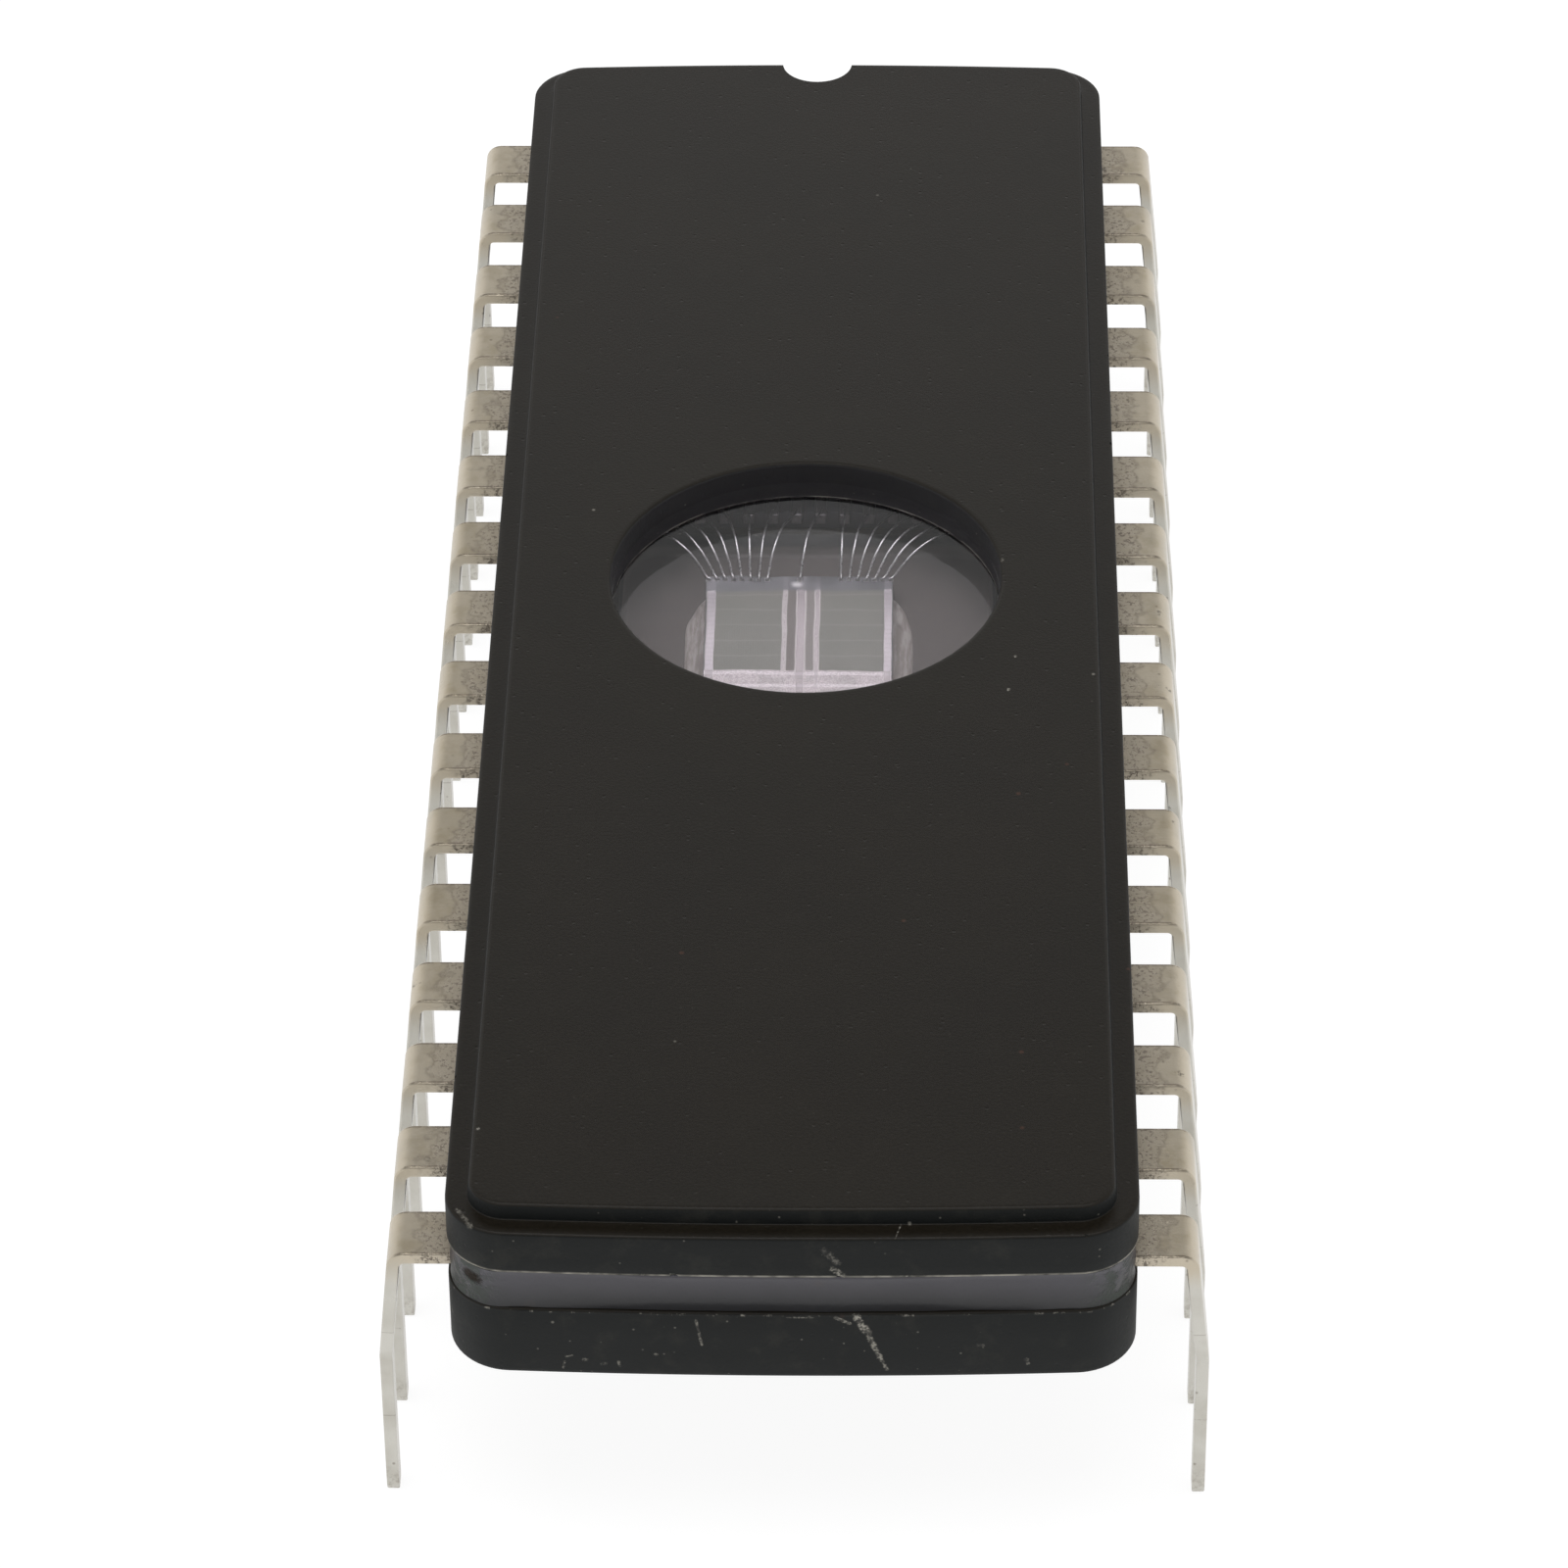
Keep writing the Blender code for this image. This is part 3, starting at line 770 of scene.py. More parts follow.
@dataclass(frozen=True)
class CeramicFinish:
    """Dark pressed ceramic: matt, brown-black on top and cooler on its sides, with its wear, and painted
    light on the wall of the window hole.

    worn_edge is the height in millimetres of the edge that wears pale, and fringe says how much of it
    has done so.
    """

    name: str
    marks: tuple[Mark, ...]
    worn_edge: float
    fringe: float
    side: Colour
    top: Colour = (0.0072, 0.0051, 0.0022)
    # hole is painted light: a lighter grey than the ceramic, for the wall of the window hole
    hole: Colour = (0.026, 0.025, 0.027)
    scuff: Colour = (0.40, 0.38, 0.33)
    smudge: Colour = (0.05, 0.047, 0.036)
    cavity: Colour = (0.080, 0.070, 0.065)
    rust: Colour = (0.07, 0.03, 0.018)
    edge_half_width: float = 0.025 * MM

    @staticmethod
    def on_body(place: tuple[float, float, float]) -> Vector:
        """A mark's place in millimetres moved onto the bowed body, in metres."""
        x, y, z = Vector(place) * MM
        return Vector((*PACKAGE.bowed(x, y), z))

    def worn(self, surface: Surface) -> Term:
        """Mask of the listed marks, broken up by grain.

        Args:
            surface: The material's node tree.

        Returns:
            The mask, 1 where a mark is fresh and 0 away from them all.
        """
        ragged = surface.grain(surface.place, 0.09 * MM, 3.0, 0.7)
        total: Term | None = None
        for mark in self.marks:
            start = self.on_body(mark.start)
            along = self.on_body(mark.end) - start
            offset = surface.vector("SUBTRACT", surface.place, tuple(start))
            share = surface.measure("DOT_PRODUCT", offset, tuple(along / along.length_squared)).held()
            foot = surface.add(
                "ShaderNodeVectorMath", {"operation": "SCALE"}, {0: tuple(along), "Scale": share}
            ).outputs[0]
            away = surface.measure("DISTANCE", offset, foot)
            width = mark.width * MM
            mask = (away + (ragged - 0.5) * (1.6 * width)).rise(width, 0.35 * width) * mark.strength
            total = mask if total is None else total.most(mask)
        broken = surface.grain(surface.place, 0.05 * MM, 2.0, 0.6).rise(0.40, 0.60)
        patchy = surface.grain(surface.place, 0.16 * MM, 2.0, 0.6).rise(0.38, 0.56)
        return total * (broken * 0.8 + 0.2) * (patchy * 0.75 + 0.25)

    def make(self) -> Surface:
        """Builds the material.

        Returns:
            The finished surface.
        """
        surface = Surface(self.name)
        up = surface.facing()[2]
        level = up.rise(0.35, 0.8)
        cloud = surface.grain(surface.place, 4.0 * MM, 3.0, 0.55)
        fine = surface.grain(surface.place, 0.07 * MM, 3.0, 0.65)
        tone = surface.blend(level, self.side, self.top)
        mottle = (cloud - 0.5) * 0.6 + (fine - 0.5) * 1.1 + 1.0
        tone = surface.vector("MULTIPLY", tone, surface.join(mottle, mottle, mottle))
        floor = PACKAGE.base_top - PACKAGE.cavity_depth
        well = surface.z.band(floor - 0.1 * MM, PACKAGE.base_top - 0.3 * MM, 0.1 * MM)
        half = PACKAGE.cavity_width / 2
        for part in (surface.x, surface.y):
            well = well * abs(part).rise(half + 0.3 * MM, half + 0.1 * MM)
        tone = surface.blend(well, tone, self.cavity)
        # Painted light: the wall of the window hole is made much lighter than the rest of the ceramic
        radius = (surface.x**2.0 + surface.y**2.0) ** 0.5
        hole = PACKAGE.window_radius
        wall = radius.rise(hole + 0.2 * MM, hole + 0.05 * MM) * (1.0 - level) * (1.0 - well)
        tone = surface.blend(wall, tone, self.hole)

        pale = surface.specks(surface.place, 0.75 * MM, 0.05 * MM, 0.12)
        tiny = surface.specks(surface.place, 0.2 * MM, 0.03 * MM, 0.22) * (1.0 - level * 0.9)
        rust = surface.specks(surface.place, 1.1 * MM, 0.07 * MM, 0.16)
        greasy = surface.grain(surface.place, 0.7 * MM, 4.0, 0.65).rise(0.5, 0.72) * (1.0 - level * 0.8)
        tone = surface.blend(greasy * 0.16, tone, self.smudge)
        tone = surface.blend((pale + tiny * 0.7).held() * 0.35, tone, self.scuff)
        tone = surface.blend(rust * 0.5, tone, self.rust)

        height = self.worn_edge * MM
        edge = surface.z.band(height - self.edge_half_width, height + self.edge_half_width, 0.02 * MM)
        uneven = surface.grain(surface.place, 0.9 * MM, 3.0, 0.7).rise(0.3, 0.65)
        nibbled = surface.grain(surface.place, 0.25 * MM, 4.0, 0.75).rise(0.54, 0.68) * 0.75
        nibbled = nibbled.most(uneven * self.fringe)
        wear = (edge * nibbled * (1.0 - level)).most(self.worn(surface)) * (1.0 - well)
        tone = surface.blend(wear.held() * 0.85, tone, self.scuff)

        surface.dress(
            Base_Color=tone,
            Roughness=(0.6 - up.rise(0.9, 0.995) * 0.26 + (fine - 0.5) * 0.2 + wear * 0.3).held(),
            Specular_IOR_Level=0.25,
        )
        pits = surface.specks(surface.place, 0.22 * MM, 0.05 * MM, 0.3)
        surface.relief((fine * 0.6 - pits * 0.5) * (1.0 - well * 0.9) + wear * 0.6, 0.006 * MM)
        return surface


@dataclass(frozen=True)
class SealFinish:
    """Reflowed sealing glass: lavender-grey and glossy, dirty at the corners, with painted light high up
    and painted shade low down.

    pock is the place of one dark pock near the left corner, as (x, z) in millimetres.
    """

    name: str = "sealing_glass_finish"
    # bright and dark are painted light and painted shade: the band's reflections, lighter high up and
    # darker low down
    bright: Colour = (0.056, 0.053, 0.064)
    dark: Colour = (0.016, 0.016, 0.018)
    moss: Colour = (0.034, 0.045, 0.034)
    pit: Colour = (0.016, 0.010, 0.006)
    rust: Colour = (0.075, 0.05, 0.03)
    dust: Colour = (0.3, 0.29, 0.26)
    pock: tuple[float, float] = (-6.03, 6.66)

    def make(self) -> Surface:
        """Builds the material.

        Returns:
            The finished surface.
        """
        surface = Surface(self.name)
        middle = (PACKAGE.base_top + PACKAGE.cap_bottom) / 2
        half = (PACKAGE.cap_bottom - PACKAGE.base_top) / 2
        height = (surface.z - middle) / half
        wave = surface.grain(surface.place, 1.6 * MM, 3.0, 0.6)
        fine = surface.grain(surface.place, 0.12 * MM, 3.0, 0.6)
        # Painted light and shade: the glass is mixed from dark low down to bright high up, standing in
        # for its reflections and the shade at its foot
        share = (height + (wave - 0.5) * 0.6).rise(-0.85, 0.8)
        tone = surface.blend(share, self.dark, self.bright)
        corner = abs(surface.x).rise(5.3 * MM, 6.2 * MM) * abs(surface.y).rise(19.6 * MM, 20.4 * MM)
        blotch = surface.grain(surface.place, 0.35 * MM, 4.0, 0.7).rise(0.42, 0.6)
        tone = surface.blend(corner * blotch * 0.8, tone, self.moss)
        pit = surface.specks(surface.place, 0.6 * MM, 0.16 * MM, 0.35)
        tone = surface.blend((corner * 0.8 + 0.12) * pit, tone, self.rust)
        across, up = self.pock
        away = ((surface.x - across * MM) ** 2.0 + (surface.z - up * MM) ** 2.0) ** 0.5
        pock = (away + (blotch - 0.5) * (0.08 * MM)).rise(0.2 * MM, 0.1 * MM)
        pock = pock * surface.y.rise(-19.0 * MM, -19.5 * MM)
        tone = surface.blend(pock, tone, self.pit)
        dust = surface.specks(surface.place, 0.35 * MM, 0.035 * MM, 0.12)
        tone = surface.blend(dust * 0.35, tone, self.dust)
        surface.dress(
            Base_Color=tone,
            Roughness=(0.34 + (fine - 0.4).held() * 0.2 + corner * blotch * 0.3 + pock * 0.5).held(),
            Specular_IOR_Level=0.5,
        )
        surface.relief(wave * 0.8 + fine * 0.2 + corner * blotch * 0.6 - pock, 0.03 * MM)
        return surface


@dataclass(frozen=True)
class LensFinish:
    """Clear ultraviolet glass that lets the lamps through, with a little dust on it."""

    name: str = "window_lens_finish"
    tint: Colour = (0.96, 0.95, 0.975)
    haze: Colour = (0.9, 0.89, 0.92)
    index: float = 1.48

    def make(self) -> Surface:
        """Builds the material.

        Returns:
            The finished surface.
        """
        surface = Surface(self.name)
        wave = surface.grain(surface.place, 1.5 * MM, 2.0, 0.5)
        fine = surface.grain(surface.place, 0.1 * MM, 2.0, 0.6)
        surface.dress(
            Base_Color=surface.blend((wave - 0.5).held(), self.tint, self.haze),
            Roughness=(0.015 + (fine - 0.5).held() * 0.05).held(),
            IOR=self.index,
            Transmission_Weight=1.0,
        )
        surface.relief(wave, 0.012 * MM)
        clear = surface.add("ShaderNodeBsdfTransparent", None, {"Color": self.tint})
        lamps = surface.add("ShaderNodeLightPath").outputs["Is Shadow Ray"]
        both = surface.add(
            "ShaderNodeMixShader", None, {0: lamps, 1: surface.shader.outputs[0], 2: clear.outputs[0]}
        )
        surface.put(surface.output.inputs["Surface"], both.outputs[0])
        return surface


@dataclass(frozen=True)
class DieFinish:
    """Patterned silicon: two cell arrays, a bright middle spine and bright borders.

    array_end is where the arrays stop towards the near end, in millimetres from the die's middle.
    """

    name: str = "silicon_die_finish"
    array: Colour = (0.154, 0.152, 0.133)
    border: Colour = (0.62, 0.55, 0.56)
    spine: Colour = (0.42, 0.39, 0.38)
    gap: Colour = (0.10, 0.085, 0.075)
    silicon: Colour = (0.12, 0.12, 0.125)
    cell: Colour = (0.26, 0.255, 0.23)
    cloudy: Colour = (0.21, 0.19, 0.17)
    rail: Colour = (0.80, 0.73, 0.76)
    bar: Colour = (0.7, 0.64, 0.65)
    far_dark: Colour = (0.085, 0.084, 0.092)
    far_light: Colour = (0.14, 0.138, 0.148)
    glint: Colour = (0.62, 0.60, 0.60)
    array_end: float = -0.93
    row_pitch: float = 0.035
    column_pitch: float = 0.05
    block_pitch: float = 0.55
    tick_pitch: float = 0.16

    def make(self) -> Surface:
        """Builds the material, with places in millimetres from the middle of the die.

        Returns:
            The finished surface.
        """
        surface = Surface(self.name)
        x = (surface.x - PACKAGE.die_shift) / MM
        y = surface.y / MM
        up = surface.facing()[2].rise(0.6, 0.9)
        soft = 0.012
        rows = (y * (math.tau / self.row_pitch)).sine() * 0.5 + 0.5
        columns = (x * (math.tau / self.column_pitch)).sine() * 0.5 + 0.5
        blocks = (y * (math.tau / self.block_pitch)).sine().rise(0.94, 0.99)
        cells = surface.blend(rows * columns * 0.35 + blocks * 0.3, self.array, self.cell)
        cloud = surface.grain(surface.place, 1.2 * MM, 2.0, 0.5)
        cells = surface.blend((cloud - 0.45).held() * 0.6, cells, self.cloudy)

        spine = x.band(-0.36, 0.45, soft)
        lines = x.band(-0.04, 0.12, soft).most(x.band(0.35, 0.43, soft) * 0.7)
        lines = lines.most(x.band(-0.34, -0.27, soft) * 0.35)
        shadows = x.band(-0.25, -0.07, soft).most(x.band(0.16, 0.32, soft) * 0.8)
        middle = surface.blend(lines, self.spine, self.border)
        middle = surface.blend(shadows * 0.85, middle, self.gap)
        tone = surface.blend(spine, cells, middle)

        ticks = (y * (math.tau / self.tick_pitch)).sine().rise(0.2, 0.5)
        rails = x.band(-1.96, -1.79, soft).most(x.band(1.82, 1.97, soft))
        tone = surface.blend(rails, tone, surface.blend(ticks * 0.12, self.rail, self.spine))

        near = y.rise(self.array_end + 0.02, self.array_end - 0.02)
        chunk = surface.add(
            "ShaderNodeTexVoronoi",
            {"distance": "CHEBYCHEV"},
            {"Vector": surface.place, "Scale": 1.0 / (0.3 * MM)},
        )
        logic = surface.blend(surface.split(chunk.outputs["Color"])[0] * 0.6, self.border, self.spine)
        tone = surface.blend(near * 0.9, tone, logic)
        bars = y.band(self.array_end - 0.16, self.array_end - 0.05, soft).most(y.band(-1.5, -1.4, soft))
        tone = surface.blend(bars, tone, self.bar)

        far = y.rise(1.86, 2.0)
        periphery = surface.blend(cloud.rise(0.4, 0.6), self.far_dark, self.far_light)
        tone = surface.blend(far * 0.92, tone, periphery)
        spot = (x + 0.06).band(-0.10, 0.10, 0.07) * y.band(2.08, 2.22, 0.09)
        tone = surface.blend(spot * 0.9, tone, self.glint)
        margin = abs(x).rise(1.975, 1.99).most(abs(y).rise(2.42, 2.44))
        tone = surface.blend(margin, tone, self.silicon)
        tone = surface.blend(up, self.silicon, tone)

        metal = ((lines * spine).most(rails) * (1.0 - far)).most(near * 0.45).held()
        fine = surface.grain(surface.place, 0.02 * MM, 2.0, 0.6)
        surface.dress(
            Base_Color=tone,
            Metallic=(metal * up * 0.6).held(),
            Roughness=(0.3 - metal * 0.06 + (fine - 0.5) * 0.1 + (1.0 - up) * 0.25).held(),
            Specular_IOR_Level=0.6,
        )
        surface.relief((lines * spine).most(rails) * 0.5 + rows * columns * 0.3, 0.002 * MM)
        return surface


@dataclass(frozen=True)
class PasteFinish:
    """Cured silver-glass paste: pale, satin, with streaks where it was squeezed."""

    name: str = "silver_paste_finish"
    body: Colour = (0.25, 0.22, 0.20)
    streak: Colour = (0.38, 0.35, 0.33)

    def make(self) -> Surface:
        """Builds the material.

        Returns:
            The finished surface.
        """
        surface = Surface(self.name)
        drawn = surface.vector("MULTIPLY", surface.place, (6.0, 0.8, 1.0))
        streaks = surface.grain(drawn, 0.5 * MM, 3.0, 0.6)
        fine = surface.grain(surface.place, 0.04 * MM, 2.0, 0.6)
        surface.dress(
            Base_Color=surface.blend(streaks.rise(0.4, 0.65), self.body, self.streak),
            Metallic=0.25,
            Roughness=(0.4 + (fine - 0.5) * 0.3).held(),
        )
        surface.relief(streaks * 0.6 + fine * 0.4, 0.01 * MM)
        return surface


@dataclass(frozen=True)
class TinFinish:
    """Dull tin on the leads: grey-brown and pitted near the body, lighter down the legs, with painted
    shade on the inner fingers.

    witness gives the heights in millimetres of the faint lines across the legs.
    """

    name: str = "dull_tin_finish"
    top: Colour = (0.53, 0.47, 0.37)
    leg: Colour = (0.585, 0.57, 0.52)
    aged: Colour = (0.36, 0.30, 0.20)
    pit: Colour = (0.16, 0.13, 0.10)
    soil: Colour = (0.045, 0.04, 0.03)
    film: Colour = (0.34, 0.31, 0.25)
    near_body: Colour = (0.42, 0.37, 0.30)
    tip_stain: Colour = (0.22, 0.19, 0.15)
    # painted shade: the inner fingers' aluminium, made dark to sit in the shade under the cap
    aluminium_in_painted_shade: Colour = (0.14, 0.13, 0.135)
    witness: tuple[float, ...] = (4.45, 2.0)

    def make(self) -> Surface:
        """Builds the material.

        Returns:
            The finished surface.
        """
        surface = Surface(self.name)
        out = abs(surface.x)
        drop = (PACKAGE.lead_top - surface.z) / MM
        wave = surface.grain(surface.place, 1.1 * MM, 3.0, 0.6)
        fine = surface.grain(surface.place, 0.06 * MM, 3.0, 0.7)
        tone = surface.blend((drop + (wave - 0.5) * 0.8).rise(0.05, 0.9), self.top, self.leg)
        tone = surface.blend((wave - 0.45).held() * 1.2, tone, self.film)
        level = surface.facing()[2].rise(0.75, 0.95)
        patch = surface.grain(surface.place, 0.5 * MM, 3.0, 0.6).rise(0.42, 0.68)
        old = surface.grain(surface.place, 4.5 * MM, 1.0, 0.5).rise(0.35, 0.7)
        tone = surface.blend(level * (patch * 0.4 + old * 0.3), tone, self.aged)

        rim = surface.grain(surface.place, 0.45 * MM, 2.0, 0.5) - 0.5
        close = (out / MM + rim * 1.1).rise(7.3, 6.85)
        speckle = surface.grain(surface.place, 0.085 * MM, 3.0, 0.75).rise(0.51, 0.61)
        tone = surface.blend(close * 0.5, tone, self.near_body)
        tone = surface.blend(close.band(0.3, 0.6, 0.2) * level * 0.35, tone, self.pit)
        tone = surface.blend(close * speckle * 0.8, tone, self.pit)
        stray = surface.specks(surface.place, 0.3 * MM, 0.045 * MM, 0.35)
        tone = surface.blend(stray * 0.55, tone, self.pit)
        ragged = surface.grain(surface.place, 0.12 * MM, 3.0, 0.7)
        smut = surface.specks(surface.place, 0.85 * MM, 0.12 * MM, 0.4) * ragged.rise(0.45, 0.6)
        tone = surface.blend(smut * 0.8, tone, self.soil)
        low = drop.rise(5.6, 6.4)
        tone = surface.blend(low * ragged.rise(0.42, 0.62) * 0.45, tone, self.tip_stain)

        step = surface.y / PACKAGE.lead_pitch + 0.5 * PACKAGE.leads_per_side
        across = abs(surface.math("FRACT", step) - 0.5) * (PACKAGE.lead_pitch / MM)
        rim_line = across.band(0.57, 0.62, 0.015) * ragged.rise(0.3, 0.55) * level
        tone = surface.blend(rim_line * 0.75, tone, self.pit)
        wander = surface.z / MM + (surface.grain(surface.place, 3.0 * MM, 0.0) - 0.5) * 0.25
        for height in self.witness:
            line = wander.band(height - 0.01, height + 0.01, 0.014) * ragged.rise(0.35, 0.55)
            tone = surface.blend(line * 0.5, tone, self.pit)

        # Painted shade: the inner fingers under the cap get a dark colour far below that of bright
        # aluminium
        inner = out.rise(6.0 * MM, 5.6 * MM)
        tone = surface.blend(inner, tone, self.aluminium_in_painted_shade)
        drag = surface.vector("MULTIPLY", surface.place, (1.0, 9.0, 1.0))
        brushed = surface.grain(drag, 0.5 * MM, 2.0, 0.6)
        dull = (close * speckle).most(smut)
        surface.dress(
            Base_Color=tone,
            Metallic=(0.82 - dull * 0.6).held(),
            Roughness=(0.33 + (fine - 0.5) * 0.22 + dull * 0.25 + (brushed - 0.5) * 0.12).held(),
        )
        surface.relief(fine * 0.5 + brushed * 0.3 - dull * 0.5, 0.008 * MM)
        return surface


@dataclass(frozen=True)
class BrightMetalFinish:
    """Plain bright metal with a little unevenness, for the bond wires and their pads."""

    name: str
    colour: Colour
    roughness: float

    def make(self) -> Surface:
        """Builds the material.

        Returns:
            The finished surface.
        """
        surface = Surface(self.name)
        fine = surface.grain(surface.place, 0.03 * MM, 2.0, 0.6)
        dim = tuple(part * 0.75 for part in self.colour)
        surface.dress(
            Base_Color=surface.blend(fine, dim, self.colour),
            Metallic=1.0,
            Roughness=(self.roughness + (fine - 0.5) * 0.15).held(),
        )
        surface.relief(fine, 0.001 * MM)
        return surface


@dataclass
class CeramicCap:
    """Pressed lid: raised panel in a ledge, round window hole, index notch and nibbled edges.

    front_chips gives the places along X and the sizes of the chips that show best. The others are drawn
    at random, with their sizes from chip_range, in millimetres. A chip's radius swings round chip_mean
    of its size by chip_swing.
    """

    rim_top: float = 7.93 * MM
    panel_ledge: float = 0.43 * MM
    panel_slope: float = 0.03 * MM
    rim_round: float = 0.06 * MM
    panel_round: float = 0.08 * MM
    foot_round: float = 0.025 * MM
    window_round: float = 0.07 * MM
    window_steps: int = 128
    underside_inset: float = 0.12 * MM
    underside_margin: float = 0.1 * MM
    ledge_lines: tuple[float, ...] = (0.14 * MM, 0.24 * MM)
    top_margin: float = 0.06 * MM
    front_chips: tuple[tuple[float, float], ...] = (
        (-2.2 * MM, 0.1 * MM),
        (-3.95 * MM, 0.08 * MM),
        (0.9 * MM, 0.08 * MM),
    )
    chip_range: tuple[float, float] = (0.03, 0.07)
    chip_mean: float = 0.99755
    chip_swing: float = 0.34914
    chip_spacing: float = 0.5 * MM
    chip_count: int = 26
    chip_seed: int = 11

    def section(self) -> Outline:
        """The outer section of the lid.

        Returns:
            Its (inset, height) pairs, from the underside to the panel.
        """
        low = PACKAGE.cap_bottom
        top = PACKAGE.panel_top
        rim = self.rim_round
        crest = self.panel_round
        crook = self.foot_round
        slope = math.degrees(math.atan2(top - self.rim_top, self.panel_slope))
        lean = math.tan(math.radians(slope / 2))
        foot = self.panel_ledge - crook * lean
        head = self.panel_ledge + self.panel_slope + crest * lean
        points = [(self.underside_inset, low)]
        points += fillet((rim, low + rim), rim, 270, 180, 3)
        points += [(0.0, low + (self.rim_top - low) * share) for share in (0.3, 0.5, 0.7)]
        points += fillet((rim, self.rim_top - rim), rim, 180, 90, 4)
        points += [(inset, self.rim_top) for inset in self.ledge_lines]
        points += fillet((foot, self.rim_top + crook), crook, 270, 270 + slope, 4)
        points += fillet((head, top - crest), crest, 90 + slope, 90, 5)
        points.append((head + self.top_margin, top))
        return points

    def blank(self) -> bpy.types.Mesh:
        """The lid before its notch is cut and its edges are chipped.

        Returns:
            The closed mesh.
        """
        bm = bmesh.new()
        rings = [add_ring(bm, PACKAGE.outline(inset), z) for inset, z in self.section()]
        stack(bm, rings)
        low = PACKAGE.cap_bottom
        top = PACKAGE.panel_top
        radius = PACKAGE.window_radius
        edge = self.window_round
        hole = [(radius + self.underside_margin, low), (radius, low)]
        hole += [(radius, low + (top - edge - low) * share) for share in (0.5, 1.0)]
        hole += fillet((radius + edge, top - edge), edge, 165, 90, 4)
        hole.append((radius + edge + self.top_margin, top))
        walls = [add_ring(bm, circle(reach, self.window_steps), z) for reach, z in hole]
        stack(bm, walls)
        cover(bm, (rings[0], walls[0]))
        cover(bm, (rings[-1], walls[-1]))
        return finish_mesh(bm, "cap_blank")

    def chips(self) -> bpy.types.Mesh:
        """Small ragged lumps that nibble the lower edge and the rim.

        Returns:
            All of them as one tool.
        """
        pick = random.Random(self.chip_seed)
        outline = PACKAGE.outline(0.0)
        near = -PACKAGE.length / 2
        spots = [(Vector((x, near, PACKAGE.cap_bottom)), size) for x, size in self.front_chips]
        while len(spots) < self.chip_count:
            x, y = outline[pick.randrange(len(outline))]
            size = pick.uniform(*self.chip_range) * MM
            height = PACKAGE.cap_bottom if pick.random() < 0.75 else self.rim_top
            spot = Vector((x, y, height))
            clear = all((spot - other).length > self.chip_spacing for other, _ in spots)
            if clear and abs(x) > 1.5 * PACKAGE.notch_radius:
                spots.append((spot, size))
        bm = bmesh.new()
        for spot, size in spots:
            made = bmesh.ops.create_icosphere(bm, subdivisions=2, radius=size)
            for vert in made["verts"]:
                bump = noise.noise(vert.co / size * 1.7 + spot / MM)
                vert.co = vert.co * (self.chip_mean + self.chip_swing * bump) + spot
        return finish_mesh(bm, "cap_chips")

    def build(self, finish: Surface) -> bpy.types.Object:
        """Builds the lid and fits it to the body.

        Args:
            finish: Its material.

        Returns:
            The piece.
        """
        notch = PACKAGE.notch_tool(0.0, PACKAGE.cap_bottom - 1.0 * MM, PACKAGE.panel_top + 1.0 * MM)
        mesh = carve(self.blank(), [notch, self.chips()])
        piece = place_piece("cap_dressed", shade(mesh, 32.0))
        finish.paint(piece)
        return settle(piece, "dark_ceramic", "ceramic_cap")


@dataclass
class CeramicBase:
    """Pressed tray with the die cavity in its top."""

    lower_round: float = 0.13 * MM
    upper_round: float = 0.05 * MM
    floor_round: float = 0.12 * MM
    draft: float = 0.06 * MM
    underside_inset: float = 0.22 * MM
    top_inset: float = 0.12 * MM
    well_flare: float = 0.08 * MM
    well_lip: float = 0.02 * MM

    def section(self) -> Outline:
        """The outer section of the tray.

        Returns:
            Its (inset, height) pairs, from below upwards.
        """
        low = PACKAGE.base_bottom
        top = PACKAGE.base_top
        points = [(self.underside_inset, low)]
        points += fillet((self.lower_round, low + self.lower_round), self.lower_round, 270, 180, 5)
        points += [(0.0, low + (top - low) * share) for share in (0.35, 0.6)]
        points += fillet((self.upper_round, top - self.upper_round), self.upper_round, 180, 90, 3)
        points.append((self.top_inset, top))
        return points

    def build(self, finish: Surface) -> bpy.types.Object:
        """Builds the tray and fits it to the body.

        Args:
            finish: Its material.

        Returns:
            The piece.
        """
        bm = bmesh.new()
        rings = [add_ring(bm, PACKAGE.outline(inset), z) for inset, z in self.section()]
        stack(bm, rings)
        top = PACKAGE.base_top
        floor = top - PACKAGE.cavity_depth
        crook = self.floor_round
        well = [(self.well_flare, top), (self.well_lip, top - self.well_lip)]
        well += fillet((-self.draft - crook, floor + crook), crook, 0, -90, 4)
        walls = [add_ring(bm, PACKAGE.cavity(grow), z) for grow, z in well]
        stack(bm, walls)
        cover(bm, (rings[0],))
        cover(bm, (rings[-1], walls[0]))
        cover(bm, (walls[-1],))
        notch = PACKAGE.notch_tool(0.0, PACKAGE.base_bottom - 1.0 * MM, top + 1.0 * MM)
        mesh = shade(carve(finish_mesh(bm, "base_blank"), [notch]), 32.0)
        piece = place_piece("base_dressed", mesh)
        finish.paint(piece)
        return settle(piece, "dark_ceramic", "ceramic_base")


